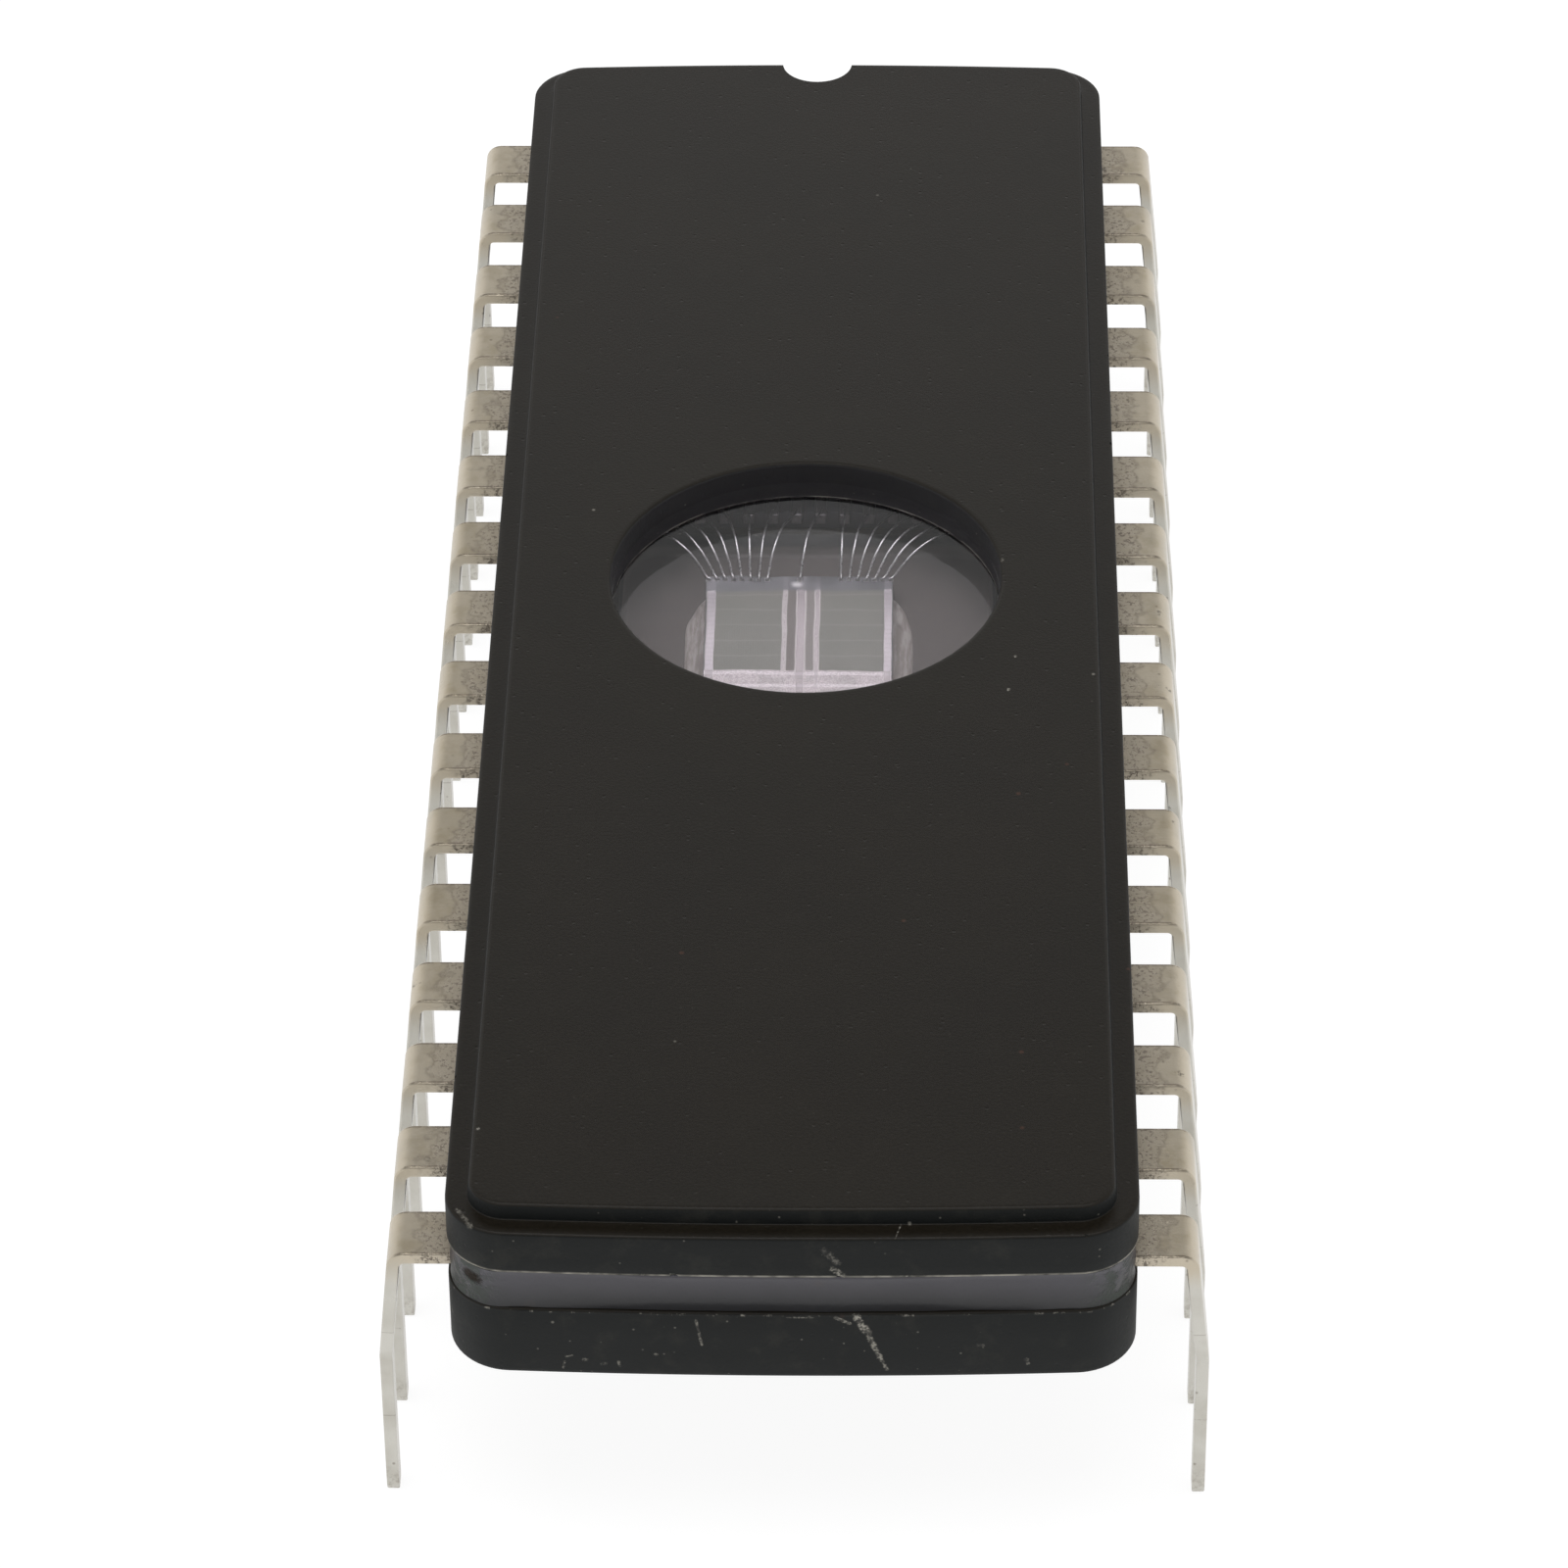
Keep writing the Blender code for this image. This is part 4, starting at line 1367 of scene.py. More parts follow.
@dataclass
class SealBead:
    """The reflowed outer skin of both glass layers: a hollow band that wets the ceramic and leads."""

    setback: float = 0.18 * MM
    reach: float = 0.08 * MM
    depth: float = 0.19 * MM
    back: float = 0.35 * MM
    steps: int = 10
    ripple: float = 0.03 * MM
    lump: float = 0.10 * MM
    lead_pull: float = 0.11 * MM
    least_setback: float = 0.03 * MM
    seam: float = 0.005 * MM
    notch_room: float = 0.08 * MM
    sides: tuple[int, int] = (60, 240)
    corner_steps: int = 20

    def inset(self, share: float, x: float, y: float) -> float:
        """How far the skin stands back from the body's side.

        Args:
            share: Height within the band, 0 below and 1 above.
            x: Place along the body's width.
            y: Place along the body's length.

        Returns:
            The distance inwards.
        """
        near_corner = min(1.0, max(0.0, abs(x) / MM - 5.0)) * min(1.0, max(0.0, abs(y) / MM - 19.1))
        hollow = self.setback - (self.setback - self.reach) * (2 * share - 1) ** 4
        hollow *= 1.0 - 0.75 * near_corner
        wave = noise.noise(Vector((x, y, share * 0.6 * MM)) / (1.3 * MM)) * self.ripple
        corner = max(0.0, abs(x) - 5.2 * MM) / MM * max(0.0, abs(y) - 19.5 * MM) / MM
        blob = max(0.0, noise.noise(Vector((x, y, share * 0.9 * MM)) / (0.45 * MM)))
        middle = 1.0 - (2 * share - 1) ** 2
        along = (y + PACKAGE.row_length / 2) / PACKAGE.lead_pitch
        offset = (along - round(along)) * PACKAGE.lead_pitch
        on_lead = 0 <= round(along) < PACKAGE.leads_per_side and abs(x) > 6.0 * MM
        wetted = math.exp(-((offset / (0.75 * MM)) ** 4)) * math.exp(-(((share - 0.4) / 0.3) ** 2))
        pull = self.lead_pull * wetted if on_lead else 0.0
        result = hollow + wave - min(1.0, corner) * blob * self.lump * middle - pull
        return min(max(result, self.least_setback), self.depth)

    def build(self, finish: Surface) -> bpy.types.Object:
        """Builds the band and fits it to the body, dressing the solids of the glass behind it.

        Args:
            finish: The material of the band and the glass.

        Returns:
            The piece.
        """
        low = PACKAGE.base_top + self.seam
        high = PACKAGE.cap_bottom - self.seam
        outer = PACKAGE.outline(0.0, self.corner_steps, self.sides)
        inner = PACKAGE.outline(self.back, self.corner_steps, self.sides)
        bm = bmesh.new()
        rings = []
        for step in range(self.steps + 1):
            share = step / self.steps
            ring = []
            for (x, y), (back_x, back_y) in zip(outer, inner):
                far = math.hypot(back_x - x, back_y - y)
                room = self.depth - PACKAGE.bow(x) * abs(back_y - y) / far
                part = min(self.inset(share, x, y), room) / far
                place = (x + (back_x - x) * part, y + (back_y - y) * part, low + (high - low) * share)
                ring.append(bm.verts.new(place))
            rings.append(ring)
        back = [add_ring(bm, inner, high), add_ring(bm, inner, low)]
        stack(bm, [*rings, *back, rings[0]])
        notch = PACKAGE.notch_tool(self.notch_room, low - 1.0 * MM, high + 1.0 * MM)
        mesh = shade(carve(finish_mesh(bm, "bead_blank"), [notch]), 50.0)
        piece = place_piece("seal_bead", mesh)
        finish.paint(piece)
        for node in ("base_glass", "cap_glass"):
            finish.paint(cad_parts[node])
        return settle(piece, "sealing_glass")


@dataclass
class WindowLens:
    """Clear disc in the window, whose edge climbs the wall a little where the glass wetted it."""

    recess: float = 0.5 * MM
    rise: float = 0.015 * MM
    climb: float = 0.05 * MM
    bite: float = 0.02 * MM
    climb_power: float = 2.2
    flat_margin: float = 0.1 * MM
    lower_round: float = 0.03 * MM
    steps: int = 128

    def build(self, finish: Surface) -> bpy.types.Object:
        """Builds the disc and fits it to the body.

        Args:
            finish: Its material.

        Returns:
            The piece.
        """
        top = PACKAGE.panel_top - self.recess
        radius = PACKAGE.window_radius + self.bite
        section = [(radius - self.climb - self.flat_margin, top)]
        for share in (step / 10 for step in range(11)):
            reach = radius - self.climb * (1 - share)
            section.append((reach, top + self.rise * share**self.climb_power))
        section.append((radius, PACKAGE.cap_bottom + self.lower_round))
        section.append((radius - self.lower_round, PACKAGE.cap_bottom))
        bm = bmesh.new()
        rings = [add_ring(bm, circle(reach, self.steps), z) for reach, z in section]
        stack(bm, rings)
        cover(bm, (rings[0],))
        cover(bm, (rings[-1],))
        piece = place_piece("window_lens_dressed", shade(finish_mesh(bm, "lens_blank"), 40.0))
        finish.paint(piece)
        return settle(piece, "clear_lens", "window_lens")


@dataclass
class Die:
    """Sawn silicon die on its paste, with the bond pads along both ends.

    paste_section gives the paste's slope as shares of its spread and its rise, from its outer edge
    inwards.
    """

    paste_spread: float = 0.42 * MM
    paste_rise: float = 0.16 * MM
    paste_section: tuple[tuple[float, float], ...] = (
        (1.0, 0.0),
        (0.92, 0.2),
        (0.7, 0.36),
        (0.4, 0.55),
        (0.15, 0.82),
        (0.0, 1.0),
        (-0.15, 1.0),
    )
    paste_ragged: float = 0.12
    squareness: float = 3.5
    squareness_at_die: float = 9.0
    paste_steps: int = 96
    floor_gap: float = 0.005 * MM
    sawn_round: float = 0.012 * MM
    pad_size: float = 0.12 * MM
    pad_height: float = 0.003 * MM
    pad_pitch: float = 0.178 * MM
    pad_side_inset: float = 0.05 * MM
    pad_end_inset: float = 0.12 * MM

    def block(self, finish: Surface) -> bpy.types.Object:
        """The die itself, with sawn edges a little rounded.

        Args:
            finish: Its material.

        Returns:
            The piece.
        """
        low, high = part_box("silicon_die")
        place = Matrix.Translation((low + high) / 2) @ Matrix.Diagonal((*(high - low), 1.0))
        bm = bmesh.new()
        bmesh.ops.create_cube(bm, size=1.0, matrix=place)
        bmesh.ops.bevel(
            bm, geom=bm.edges[:], offset=self.sawn_round, segments=2, affect="EDGES", profile=0.5
        )
        piece = place_piece("silicon_die_dressed", shade(finish_mesh(bm, "die_blank"), 15.0))
        finish.paint(piece)
        return settle(piece, "silicon", "silicon_die")

    def paste(self, finish: Surface) -> bpy.types.Object:
        """The squeezed-out paste, a low slope that climbs the sides of the die.

        Args:
            finish: Its material.

        Returns:
            The piece.
        """
        floor = PACKAGE.base_top - PACKAGE.cavity_depth + self.floor_gap
        bm = bmesh.new()
        rings = []
        for share, height in self.paste_section:
            power = 2 / (self.squareness if share > 0.3 else self.squareness_at_die)
            ring = []
            for c, s in circle(1.0, self.paste_steps):
                ragged = 1.0 + self.paste_ragged * noise.noise(Vector((c, s, 0.3)) * 3.0)
                grow = self.paste_spread * share * (ragged if share > 0 else 1.0)
                x = math.copysign(abs(c) ** power, c) * (PACKAGE.die_width / 2 + grow)
                y = math.copysign(abs(s) ** power, s) * (PACKAGE.die_length / 2 + grow)
                ring.append(bm.verts.new((PACKAGE.die_shift + x, y, floor + self.paste_rise * height)))
            rings.append(ring)
        stack(bm, rings)
        cover(bm, (rings[0],))
        cover(bm, (rings[-1],))
        piece = place_piece("die_attach_dressed", shade(finish_mesh(bm, "paste_blank"), 60.0))
        finish.paint(piece)
        return settle(piece, "silver_paste", "die_attach")

    def pad_place(self, rank: int, row: Row, end: End) -> Vector:
        """Middle of the bond pad of one lead, on top of the die.

        Args:
            rank: Place of the lead in its quarter, 0 next to the end of the body.
            row: The lead's row.
            end: The lead's end of the body.

        Returns:
            The point in metres.
        """
        outermost = PACKAGE.die_width / 2 - self.pad_side_inset
        across = outermost - self.pad_pitch * (PACKAGE.leads_per_side // 2 - 1 - rank)
        if rank == 0 and row.value == end.value:
            across = 0.0
        along = end.value * (PACKAGE.die_length / 2 - self.pad_end_inset)
        return Vector((PACKAGE.die_shift + row.value * across, along, PACKAGE.die_top))

    def pad_recipe(self) -> Recipe:
        """The tree that stands a square pad on each point.

        Returns:
            The tree.
        """
        recipe = Recipe("bond_pads", {"Pad Size": "Float", "Pad Height": "Float"})
        size = recipe.size("Pad Size")
        height = recipe.size("Pad Height") * 2.0
        box = recipe.add("GeometryNodeMeshCube", None, {"Size": recipe.join(size, size, height)})
        copies = recipe.add(
            "GeometryNodeInstanceOnPoints",
            None,
            {"Points": recipe.given.outputs["Geometry"], "Instance": box.outputs[0]},
        )
        recipe.end(copies.outputs[0])
        return recipe

    def pads(self, finish: Surface) -> bpy.types.Object:
        """All the bond pads, one for each lead.

        Args:
            finish: Their material.

        Returns:
            The pads as one piece.
        """
        places = [
            self.pad_place(rank, row, end)
            for row in Row
            for end in End
            for rank in range(PACKAGE.leads_per_side // 2)
        ]
        seed = bpy.data.meshes.new("pad_points")
        seed.from_pydata(places, [], [])
        mesh = self.pad_recipe().make(
            seed, {"Pad Size": self.pad_size, "Pad Height": self.pad_height}, finish.material
        )
        return settle(place_piece("bond_pads", shade(mesh, 30.0)), "silicon")


@dataclass
class LeadFrame:
    """The 32 leads with their inner fingers and bond wires.

    Each lead is drawn as a flat blank along X, with its length measured from the middle of the body, and
    then folded. The approach's shares and steps say how a finger turns towards the rim of the cavity.
    """

    shoulder_width: float = 1.27 * MM
    pin_width: float = 0.47 * MM
    pin_length: float = 3.43 * MM
    tip_chamfer: float = 0.07 * MM
    tip_length: float = 0.14 * MM
    taper_length: float = 1.2 * MM
    reach: float = 0.83 * MM
    bend_radius: float = 0.1 * MM
    bend_steps: int = 12
    splay: float = math.radians(5.7)
    crease_radius: float = 2.0 * MM
    edge_round: float = 0.035 * MM
    edge_angle: float = math.radians(50)
    edge_steps: int = 3
    flat_angle: float = 13.0
    run_share: float = 0.42
    elbow_width: float = 0.75 * MM
    neck_width: float = 0.3 * MM
    tip_width: float = 0.24 * MM
    tip_pitch: float = 0.52 * MM
    approach_share: float = 0.36
    approach_step: float = 0.2 * MM
    approach_turn: float = math.radians(115)
    turn_power: float = 4.0
    shelf: float = 0.2 * MM
    wire_radius: float = 0.024 * MM
    wire_loop: float = 0.44 * MM
    loop_skew: float = 1.6
    wire_foot: float = 0.12 * MM
    wire_clearance: float = 0.01 * MM
    wire_sink: float = 0.35
    wire_points: int = 30
    wire_sides: int = 10
    foot_setback: float = 0.16 * MM

    @property
    def side_room(self) -> float:
        """Room between the cavity and the side of the body."""
        return (PACKAGE.width - PACKAGE.cavity_width) / 2

    @property
    def bend_start(self) -> float:
        """Distance out where the lead starts to bend down."""
        return PACKAGE.width / 2 + self.reach

    @property
    def bend_middle(self) -> float:
        """Bend radius at the middle of the thickness."""
        return self.bend_radius + PACKAGE.lead_thickness / 2

    @property
    def bend_angle(self) -> float:
        """Turn from level to the leaning leg."""
        return math.pi / 2 - self.splay

    @property
    def bend_length(self) -> float:
        """Length of the bend along the middle of the thickness."""
        return self.bend_middle * self.bend_angle

    @property
    def crease_length(self) -> float:
        """Length of the soft crease where the leaning leg turns straight down."""
        return self.crease_radius * self.splay

    @property
    def leg_length(self) -> float:
        """Length of the leaning leg.

        Returns:
            What the drop leaves between the bend and the crease, along the leg.
        """
        foot = PACKAGE.lead_top - PACKAGE.lead_thickness / 2
        foot -= self.bend_middle * (1 - math.cos(self.bend_angle))
        crease_top = self.pin_length + self.crease_radius * math.sin(self.splay)
        return (foot - crease_top) / math.cos(self.splay)

    def finger_tip(self, rank: int) -> tuple[float, float, float]:
        """Where an inner finger ends, in the +X +Y quarter.

        Args:
            rank: Place of the lead in its quarter, 0 next to the end of the body.

        Returns:
            The middle of its end, and the turn of its last stretch.
        """
        radius = PACKAGE.cavity_corner + self.shelf / 2
        straight = PACKAGE.cavity_width / 2 - PACKAGE.cavity_corner
        along = self.tip_pitch * (rank + 0.5)
        corner_y = PACKAGE.cavity_length / 2 - PACKAGE.cavity_corner
        swept = max(along - straight, 0.0) / radius
        x = min(along, straight) + radius * math.sin(swept)
        y = corner_y + radius * math.cos(swept)
        share = rank / (PACKAGE.leads_per_side // 2 - 1)
        return x, y, self.approach_turn * share**self.turn_power

    def stations(self, rank: int) -> list[tuple[float, float, float]]:
        """The part of a flat blank that lies outside the body.

        Args:
            rank: Place of the lead in its quarter, 0 next to the end of the body.

        Returns:
            Its middle line and width from the pin's tip inwards, as (x, y, width).
        """
        y = PACKAGE.row_length / 2 - rank * PACKAGE.lead_pitch
        leg_start = self.bend_start + self.bend_length
        crease_start = leg_start + self.leg_length
        pin_start = crease_start + self.crease_length
        end = pin_start + self.pin_length
        taper = pin_start - self.taper_length
        widths = [
            (end, self.pin_width - 2 * self.tip_chamfer),
            (end - 0.04 * MM, self.pin_width - 1.1 * self.tip_chamfer),
            (end - self.tip_length, self.pin_width),
        ]
        widths += [(end - self.pin_length * share, self.pin_width) for share in (0.35, 0.7, 0.97)]
        widths.append((pin_start, self.pin_width))
        slope = (self.shoulder_width - self.pin_width) / self.taper_length
        for share in (0.25, 0.5, 0.75, 1.0):
            up = self.crease_length * share
            widths.append((pin_start - up, self.pin_width + slope * up))
        widths.append((taper + 0.12 * MM, self.shoulder_width - slope * 0.1 * MM))
        steps = self.bend_steps
        bend = [self.bend_start + self.bend_length * step / steps for step in range(steps, -1, -1)]
        broad = [taper - 0.05 * MM, leg_start + 0.05 * MM, *bend]
        widths += [(u, self.shoulder_width) for u in broad]
        return [(u, y, width) for u, width in widths]

    def blank(self, rank: int, row: Row, end: End) -> bpy.types.Mesh:
        """The flat stamped sheet of one lead, with the finger that runs to the cavity.

        Args:
            rank: Place of the lead in its quarter, 0 next to the end of the body.
            row: The lead's row.
            end: The lead's end of the body.

        Returns:
            One strip of quads that face up.
        """
        y = PACKAGE.row_length / 2 - rank * PACKAGE.lead_pitch
        tip_x, tip_y, turn = self.finger_tip(rank)
        approach = self.approach_share * self.side_room
        approach += self.approach_step * (PACKAGE.leads_per_side // 2 - 1 - rank)
        half = PACKAGE.width / 2
        path = self.stations(rank)
        path += [
            (half, y, self.shoulder_width),
            (half - self.run_share * self.side_room, y, self.elbow_width),
            (tip_x + approach * math.sin(turn), tip_y + approach * math.cos(turn), self.neck_width),
            (tip_x, tip_y, self.tip_width),
        ]
        bm = bmesh.new()
        pairs = []
        for i, (x, place_y, width) in enumerate(path):
            before = path[max(i - 1, 0)]
            after = path[min(i + 1, len(path) - 1)]
            into = math.atan2(place_y - before[1], x - before[0])
            out = math.atan2(after[1] - place_y, after[0] - x)
            into = out if i == 0 else into
            out = into if i == len(path) - 1 else out
            bent = math.remainder(out - into, 2 * math.pi)
            across = into + bent / 2 + math.pi / 2
            reach = width / 2 / math.cos(bent / 2)
            pair = []
            for sign in (1, -1):
                px = x + sign * reach * math.cos(across)
                py = place_y + sign * reach * math.sin(across)
                pair.append(bm.verts.new((row.value * px, end.value * py, 0.0)))
            pairs.append(pair)
        for first, second in zip(pairs, pairs[1:]):
            bm.faces.new((first[0], first[1], second[1], second[0]))
        bm.normal_update()
        upward = sum(face.normal.z * face.calc_area() for face in bm.faces)
        if upward < 0:
            bmesh.ops.reverse_faces(bm, faces=bm.faces)
        mesh = bpy.data.meshes.new("lead_blank")
        bm.to_mesh(mesh)
        bm.free()
        return mesh

    def fold_recipe(self) -> Recipe:
        """The tree that bends a flat blank by formula and gives it its thickness.

        Returns:
            The tree.
        """
        names = (
            "Lead Top",
            "Thickness",
            "Bend Start",
            "Bend Radius",
            "Bend Angle",
            "Leg Length",
            "Crease Radius",
            "Crease Angle",
        )
        recipe = Recipe("folded_lead", dict.fromkeys(names, "Float"))
        top, thick, start, radius, angle, leg, crease, lean = (recipe.size(name) for name in names)
        x, y, _ = recipe.split(recipe.add("GeometryNodeInputPosition").outputs[0])
        side = recipe.math("SIGN", x)
        u = abs(x)
        bend = ((u - start) / radius).least(angle).most(0.0)
        straight = (u - start - radius * angle).least(leg).most(0.0)
        soft = ((u - start - radius * angle - leg) / crease).least(lean).most(0.0)
        rest = (u - start - radius * angle - leg - crease * lean).most(0.0)
        heading = bend + soft
        offset = thick * -0.5
        out = u.least(start) + radius * bend.sine() + straight * angle.cosine()
        out = out + crease * ((angle + soft).sine() - angle.sine()) + offset * heading.sine()
        height = top - thick * 0.5 - radius * (1.0 - bend.cosine()) - straight * angle.sine()
        height = height - crease * (angle.cosine() - (angle + soft).cosine()) - rest
        height = height + offset * heading.cosine()
        place = recipe.join(side * out, y, height)
        inner = recipe.add(
            "GeometryNodeSetPosition",
            None,
            {"Geometry": recipe.given.outputs["Geometry"], "Position": place},
        )
        outer = recipe.add(
            "GeometryNodeExtrudeMesh",
            None,
            {"Mesh": inner.outputs[0], "Offset Scale": thick, "Individual": False},
        )
        back = recipe.add("GeometryNodeFlipFaces", None, {"Mesh": inner.outputs[0]})
        both = recipe.add("GeometryNodeJoinGeometry")
        recipe.put(both.inputs[0], outer.outputs["Mesh"])
        recipe.put(both.inputs[0], back.outputs[0])
        closed = recipe.add(
            "GeometryNodeMergeByDistance", None, {"Geometry": both.outputs[0], "Distance": 0.001 * MM}
        )
        recipe.end(closed.outputs[0])
        return recipe

    def wire_recipe(self) -> Recipe:
        """The tree that draws a round wire with two flat feet and a loop between two points.

        Returns:
            The tree.
        """
        ends = dict.fromkeys(("Pad", "Finger"), "Vector")
        recipe = Recipe("bond_wire", ends | dict.fromkeys(("Span", "Foot", "Loop", "Radius"), "Float"))
        pad = recipe.given.outputs["Pad"]
        finger = recipe.given.outputs["Finger"]
        span = recipe.size("Span")
        foot = recipe.size("Foot")
        points = self.wire_points
        line = recipe.add("GeometryNodeCurvePrimitiveLine", None, {"Start": pad, "End": finger})
        fine = recipe.add("GeometryNodeResampleCurve", None, {"Curve": line.outputs[0], "Count": points})
        factor = Term(recipe, recipe.add("GeometryNodeSplineParameter").outputs["Factor"])
        share = ((factor * span - foot) / (span - foot * 2.0)).least(1.0).most(0.0)
        low = recipe.split(pad)[2]
        high = recipe.split(finger)[2]
        x, y, _ = recipe.split(recipe.add("GeometryNodeInputPosition").outputs[0])
        skew = self.loop_skew
        peak = skew**skew / (1.0 + skew) ** (1.0 + skew)
        height = low + (high - low) * share + recipe.size("Loop") * share * (1.0 - share) ** skew / peak
        looped = recipe.add(
            "GeometryNodeSetPosition",
            None,
            {"Geometry": fine.outputs[0], "Position": recipe.join(x, y, height)},
        )
        ring = recipe.add(
            "GeometryNodeCurvePrimitiveCircle",
            None,
            {"Resolution": self.wire_sides, "Radius": recipe.size("Radius")},
        )
        tube = recipe.add(
            "GeometryNodeCurveToMesh",
            None,
            {"Curve": looped.outputs[0], "Profile Curve": ring.outputs[0], "Fill Caps": True},
        )
        recipe.end(tube.outputs[0])
        return recipe

    def wire_ends(self, rank: int, row: Row, end: End, die: Die) -> tuple[Vector, Vector]:
        """Outer ends of a wire's two feet, at the height of the wire's middle.

        Args:
            rank: Place of the lead in its quarter, 0 next to the end of the body.
            row: The lead's row.
            end: The lead's end of the body.
            die: Gives the place of the bond pad.

        Returns:
            The end on the pad and the end on the finger.
        """
        tip_x, tip_y, turn = self.finger_tip(rank)
        pad = die.pad_place(rank, row, end)
        pad.z += self.wire_clearance + self.wire_radius
        finger = Vector((
            row.value * (tip_x + self.foot_setback * math.sin(turn)),
            end.value * (tip_y + self.foot_setback * math.cos(turn)),
            PACKAGE.lead_top + self.wire_radius * self.wire_sink,
        ))
        toward = Vector((finger.x - pad.x, finger.y - pad.y, 0.0)).normalized()
        half = toward * self.wire_foot / 2
        return pad - half, finger + half

    def rounded(self, holder: bpy.types.Object) -> None:
        """Rounds the stamped edges of a lead.

        Args:
            holder: The object that carries the folded lead.
        """
        bevel = holder.modifiers.new("rounded_edges", "BEVEL")
        bevel.limit_method = "ANGLE"
        bevel.angle_limit = self.edge_angle
        bevel.width = self.edge_round
        bevel.segments = self.edge_steps

    def build(self, die: Die, tin: Surface, wire: Surface) -> list[bpy.types.Object]:
        """Builds every lead with its wire and fits them to the body.

        Args:
            die: Gives the places of the bond pads.
            tin: Finish of the leads.
            wire: Finish of the bond wires.

        Returns:
            The 32 pieces.
        """
        fold = self.fold_recipe()
        draw = self.wire_recipe()
        sizes = {
            "Lead Top": PACKAGE.lead_top,
            "Thickness": PACKAGE.lead_thickness,
            "Bend Start": self.bend_start,
            "Bend Radius": self.bend_middle,
            "Bend Angle": self.bend_angle,
            "Leg Length": self.leg_length,
            "Crease Radius": self.crease_radius,
            "Crease Angle": self.splay,
        }
        pieces = []
        quarter = PACKAGE.leads_per_side // 2
        for number in range(1, 2 * PACKAGE.leads_per_side + 1):
            row = Row.LEFT if number <= PACKAGE.leads_per_side else Row.RIGHT
            place = number - 1 if row is Row.LEFT else 2 * PACKAGE.leads_per_side - number
            end = End.NOTCH if place < quarter else End.PLAIN
            rank = place if end is End.NOTCH else PACKAGE.leads_per_side - 1 - place
            folded = fold.make(self.blank(rank, row, end), sizes, tin.material)
            folded = with_modifiers(folded, self.rounded)
            pad, finger = self.wire_ends(rank, row, end, die)
            level = Vector((finger.x - pad.x, finger.y - pad.y))
            wired = draw.make(
                bpy.data.meshes.new("wire_seed"),
                {
                    "Pad": pad,
                    "Finger": finger,
                    "Span": level.length,
                    "Foot": self.wire_foot,
                    "Loop": self.wire_loop,
                    "Radius": self.wire_radius,
                },
                wire.material,
            )
            parts = [shade(folded, self.flat_angle), shade(wired, 60.0)]
            piece = place_piece(f"lead_{number:02d}_dressed", merged(parts, "lead"))
            pieces.append(settle(piece, "dull_tin", f"lead_{number:02d}"))
        return pieces


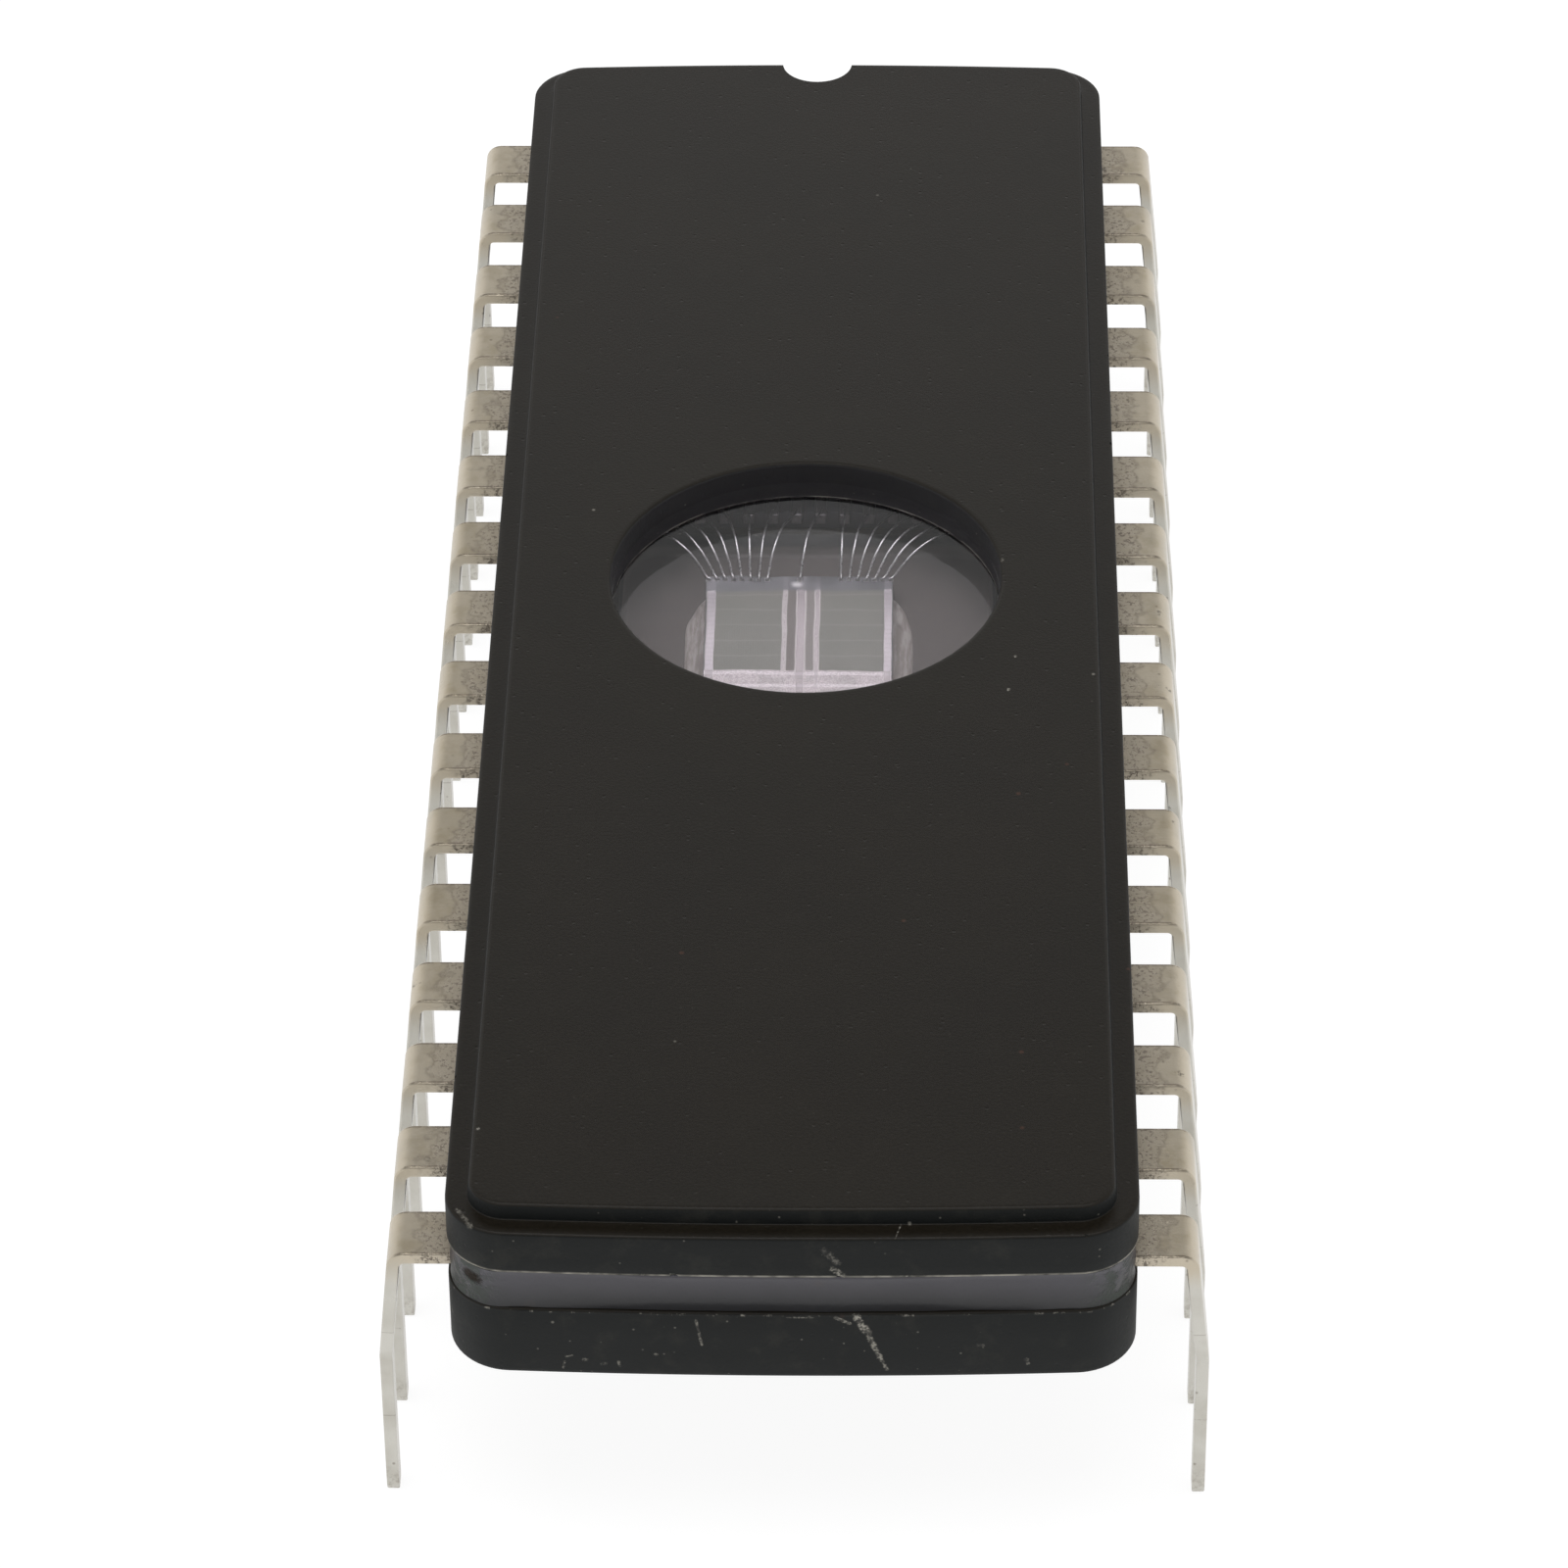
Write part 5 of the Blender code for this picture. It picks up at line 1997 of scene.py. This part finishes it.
@dataclass
class Studio:
    """Pale floor, soft light and the camera at the photo's angle."""

    eye: tuple[float, float, float] = (2.239 * MM, -121.73 * MM, 95.632 * MM)
    pitch: float = math.radians(37.3439)
    yaw: float = math.radians(-1.2912)
    roll: float = math.radians(-0.6305)
    lens: float = 163.557
    sensor: float = 36.0
    sky: float = 1.0
    shade: float = 0.10
    shade_from: tuple[float, float, float] = (0.015, -0.80, 0.60)
    zenith: float = 0.3
    floor_size: float = 3.0
    floor_dark: Colour = (0.15, 0.15, 0.15)
    floor_light: Colour = (0.17, 0.17, 0.17)
    glow: float = 0.92
    lamp_place: tuple[float, float, float] = (-0.03, -0.06, 0.43)
    lamp_size: float = 0.35
    lamp_power: float = 1.2

    def camera(self) -> None:
        """Puts the camera where the photo was taken from."""
        ahead = Vector((
            math.sin(self.yaw) * math.cos(self.pitch),
            math.cos(self.yaw) * math.cos(self.pitch),
            -math.sin(self.pitch),
        ))
        level = Vector((math.cos(self.yaw), -math.sin(self.yaw), 0.0))
        above = level.cross(ahead)
        right = level * math.cos(self.roll) + above * math.sin(self.roll)
        up = above * math.cos(self.roll) - level * math.sin(self.roll)
        data = bpy.data.cameras.new("camera")
        data.lens = self.lens
        data.sensor_width = self.sensor
        data.clip_start = 0.005
        data.clip_end = 20.0
        camera = bpy.data.objects.new("camera", data)
        turn = Matrix((right, up, -ahead)).transposed().to_4x4()
        camera.matrix_world = Matrix.Translation(self.eye) @ turn
        bpy.context.scene.collection.objects.link(camera)
        bpy.context.scene.camera = camera

    def world(self) -> None:
        """A white surround, with a darker patch of room on the photographer's side."""
        world = bpy.data.worlds.new("soft_surround")
        world.use_nodes = True
        bpy.context.scene.world = world
        nodes = Nodes(world.node_tree)
        back = world.node_tree.nodes["Background"]
        direction = nodes.add("ShaderNodeTexCoord").outputs["Generated"]
        toward = Vector(self.shade_from).normalized()
        facing = nodes.measure("DOT_PRODUCT", direction, tuple(toward))
        patch = facing.rise(0.62, 0.93)
        height = nodes.split(direction)[2]
        fall = 1.0 - height.rise(0.3, 0.8) * (1.0 - self.zenith)
        path = nodes.add("ShaderNodeLightPath")
        seen = Term(nodes, path.outputs["Is Camera Ray"])
        strength = (1.0 - patch * (1.0 - self.shade)) * fall * self.sky
        strength = strength * (1.0 - seen) + seen
        nodes.put(back.inputs["Color"], (1.0, 1.0, 1.0))
        nodes.put(back.inputs["Strength"], strength)

    def floor(self) -> None:
        """A white floor that shows a faint shadow."""
        bm = bmesh.new()
        bmesh.ops.create_grid(bm, x_segments=8, y_segments=8, size=self.floor_size)
        mesh = bpy.data.meshes.new("floor")
        bm.to_mesh(mesh)
        bm.free()
        floor = bpy.data.objects.new("floor", mesh)
        bpy.context.scene.collection.objects.link(floor)
        surface = Surface("floor_finish")
        fine = surface.grain(surface.place, 2.0 * MM, 2.0, 0.5)
        surface.dress(
            Base_Color=surface.blend(fine, self.floor_dark, self.floor_light),
            Roughness=0.9,
            Specular_IOR_Level=0.0,
            Emission_Color=(1.0, 1.0, 1.0, 1.0),
            Emission_Strength=self.glow,
        )
        surface.paint(floor)

    def lamps(self) -> None:
        """One large soft lamp overhead."""
        data = bpy.data.lights.new("soft_top", "AREA")
        data.shape = "DISK"
        data.size = self.lamp_size
        data.energy = self.lamp_power
        lamp = bpy.data.objects.new("soft_top", data)
        lamp.location = self.lamp_place
        lamp.rotation_mode = "QUATERNION"
        lamp.rotation_quaternion = (-Vector(lamp.location)).to_track_quat("-Z", "Y")
        bpy.context.scene.collection.objects.link(lamp)

    def build(self) -> None:
        """Sets the whole studio up."""
        self.camera()
        self.world()
        self.floor()
        self.lamps()
        bpy.context.scene.view_settings.view_transform = "Standard"


# Marks on the cap, with places on the straight-ended body in millimetres
CAP_MARKS = (
    Mark((-2.26, NEAR_FACE, 7.02), (-2.05, NEAR_FACE, 6.93), 0.05),
    Mark((-4.15, NEAR_FACE, 6.96), (-3.85, NEAR_FACE, 6.95), 0.05),
    Mark((0.62, NEAR_FACE, 7.66), (0.86, NEAR_FACE, 7.35), 0.09, 0.35),
    Mark((0.80, NEAR_FACE, 7.20), (0.98, NEAR_FACE, 7.0), 0.09, 0.8),
    Mark((2.145, -20.155, 7.93), (1.945, -20.885, 7.93), 0.018, 0.7),
    Mark((-6.30, -20.22, 7.90), (-6.02, -20.66, 7.90), 0.07, 0.45),
    Mark((-1.2, NEAR_FACE, 6.97), (-0.9, NEAR_FACE, 6.96), 0.03, 0.7),
    Mark((3.2, NEAR_FACE, 6.97), (3.5, NEAR_FACE, 6.96), 0.03, 0.6),
    Mark((4.377, -2.892, 8.26), (4.380, -2.870, 8.26), 0.035, 1.0),
    Mark((4.224, -4.050, 8.26), (4.228, -4.030, 8.26), 0.045, 1.0),
    Mark((-6.0, -18.222, 8.26), (-5.99, -18.2, 8.26), 0.045, 0.9),
    Mark((3.60, -1.98, 8.2), (3.83, -1.46, 8.2), 0.05, 0.5),
    Mark((4.13, 0.52, 8.25), (4.14, 0.58, 8.25), 0.045, 0.5),
)

# Marks on the base, with places as above
BASE_MARKS = (
    Mark((1.22, NEAR_FACE, 5.98), (1.42, NEAR_FACE, 5.60), 0.10, 1.0),
    Mark((1.42, NEAR_FACE, 5.60), (1.66, NEAR_FACE, 5.00), 0.075, 0.9),
    Mark((1.66, NEAR_FACE, 5.00), (1.80, NEAR_FACE, 4.66), 0.05, 0.9),
    Mark((0.82, NEAR_FACE, 5.98), (1.10, NEAR_FACE, 5.82), 0.05, 0.8),
    Mark((-0.10, NEAR_FACE, 5.98), (0.40, NEAR_FACE, 5.975), 0.022, 0.7),
    Mark((-1.81, NEAR_FACE, 5.88), (-1.77, NEAR_FACE, 5.62), 0.035, 0.7),
    Mark((-1.77, NEAR_FACE, 5.62), (-1.71, NEAR_FACE, 5.27), 0.035, 0.6),
    Mark((-4.36, NEAR_FACE, 4.62), (-4.33, NEAR_FACE, 4.78), 0.03, 0.5),
    Mark((-4.30, NEAR_FACE, 4.90), (-4.18, NEAR_FACE, 4.93), 0.03, 0.5),
    Mark((-3.95, NEAR_FACE, 4.84), (-3.90, NEAR_FACE, 4.83), 0.05, 0.45),
    Mark((-3.62, NEAR_FACE, 4.74), (-3.55, NEAR_FACE, 4.75), 0.05, 0.5),
    Mark((-3.30, NEAR_FACE, 4.80), (-3.28, NEAR_FACE, 4.70), 0.04, 0.5),
    Mark((-2.60, NEAR_FACE, 5.02), (-2.57, NEAR_FACE, 5.00), 0.04, 0.45),
    Mark((3.55, NEAR_FACE, 5.25), (3.62, NEAR_FACE, 5.22), 0.06, 0.4),
    Mark((4.45, NEAR_FACE, 4.86), (4.48, NEAR_FACE, 4.78), 0.06, 0.4),
    Mark((-6.56, -20.05, 5.40), (-6.52, -20.15, 5.30), 0.05, 0.9),
    Mark((-6.33, -20.50, 4.86), (-6.28, -20.56, 4.78), 0.05, 0.9),
)


def main() -> None:
    """Builds the studio and every piece of the chip, in order from the inside out."""
    logging.basicConfig(level=logging.INFO, format="%(name)s %(message)s")
    Studio().build()

    cap_ceramic = CeramicFinish(
        "cap_ceramic_finish", CAP_MARKS, worn_edge=7.0, fringe=1.0, side=(0.0030, 0.0042, 0.0040)
    ).make()
    base_ceramic = CeramicFinish(
        "base_ceramic_finish", BASE_MARKS, worn_edge=6.03, fringe=0.04, side=(0.0052, 0.0064, 0.0062)
    ).make()
    seal = SealFinish().make()
    tin = TinFinish().make()
    wire = BrightMetalFinish("bond_wire_finish", colour=(0.66, 0.64, 0.65), roughness=0.28).make()
    pads = BrightMetalFinish("bond_pad_finish", colour=(0.78, 0.76, 0.76), roughness=0.35).make()

    CeramicBase().build(base_ceramic)
    die = Die()
    die.paste(PasteFinish().make())
    die.block(DieFinish().make())
    die.pads(pads)
    LeadFrame().build(die, tin, wire)
    SealBead().build(seal)
    CeramicCap().build(cap_ceramic)
    WindowLens().build(LensFinish().make())


if __name__ == "__main__":
    main()
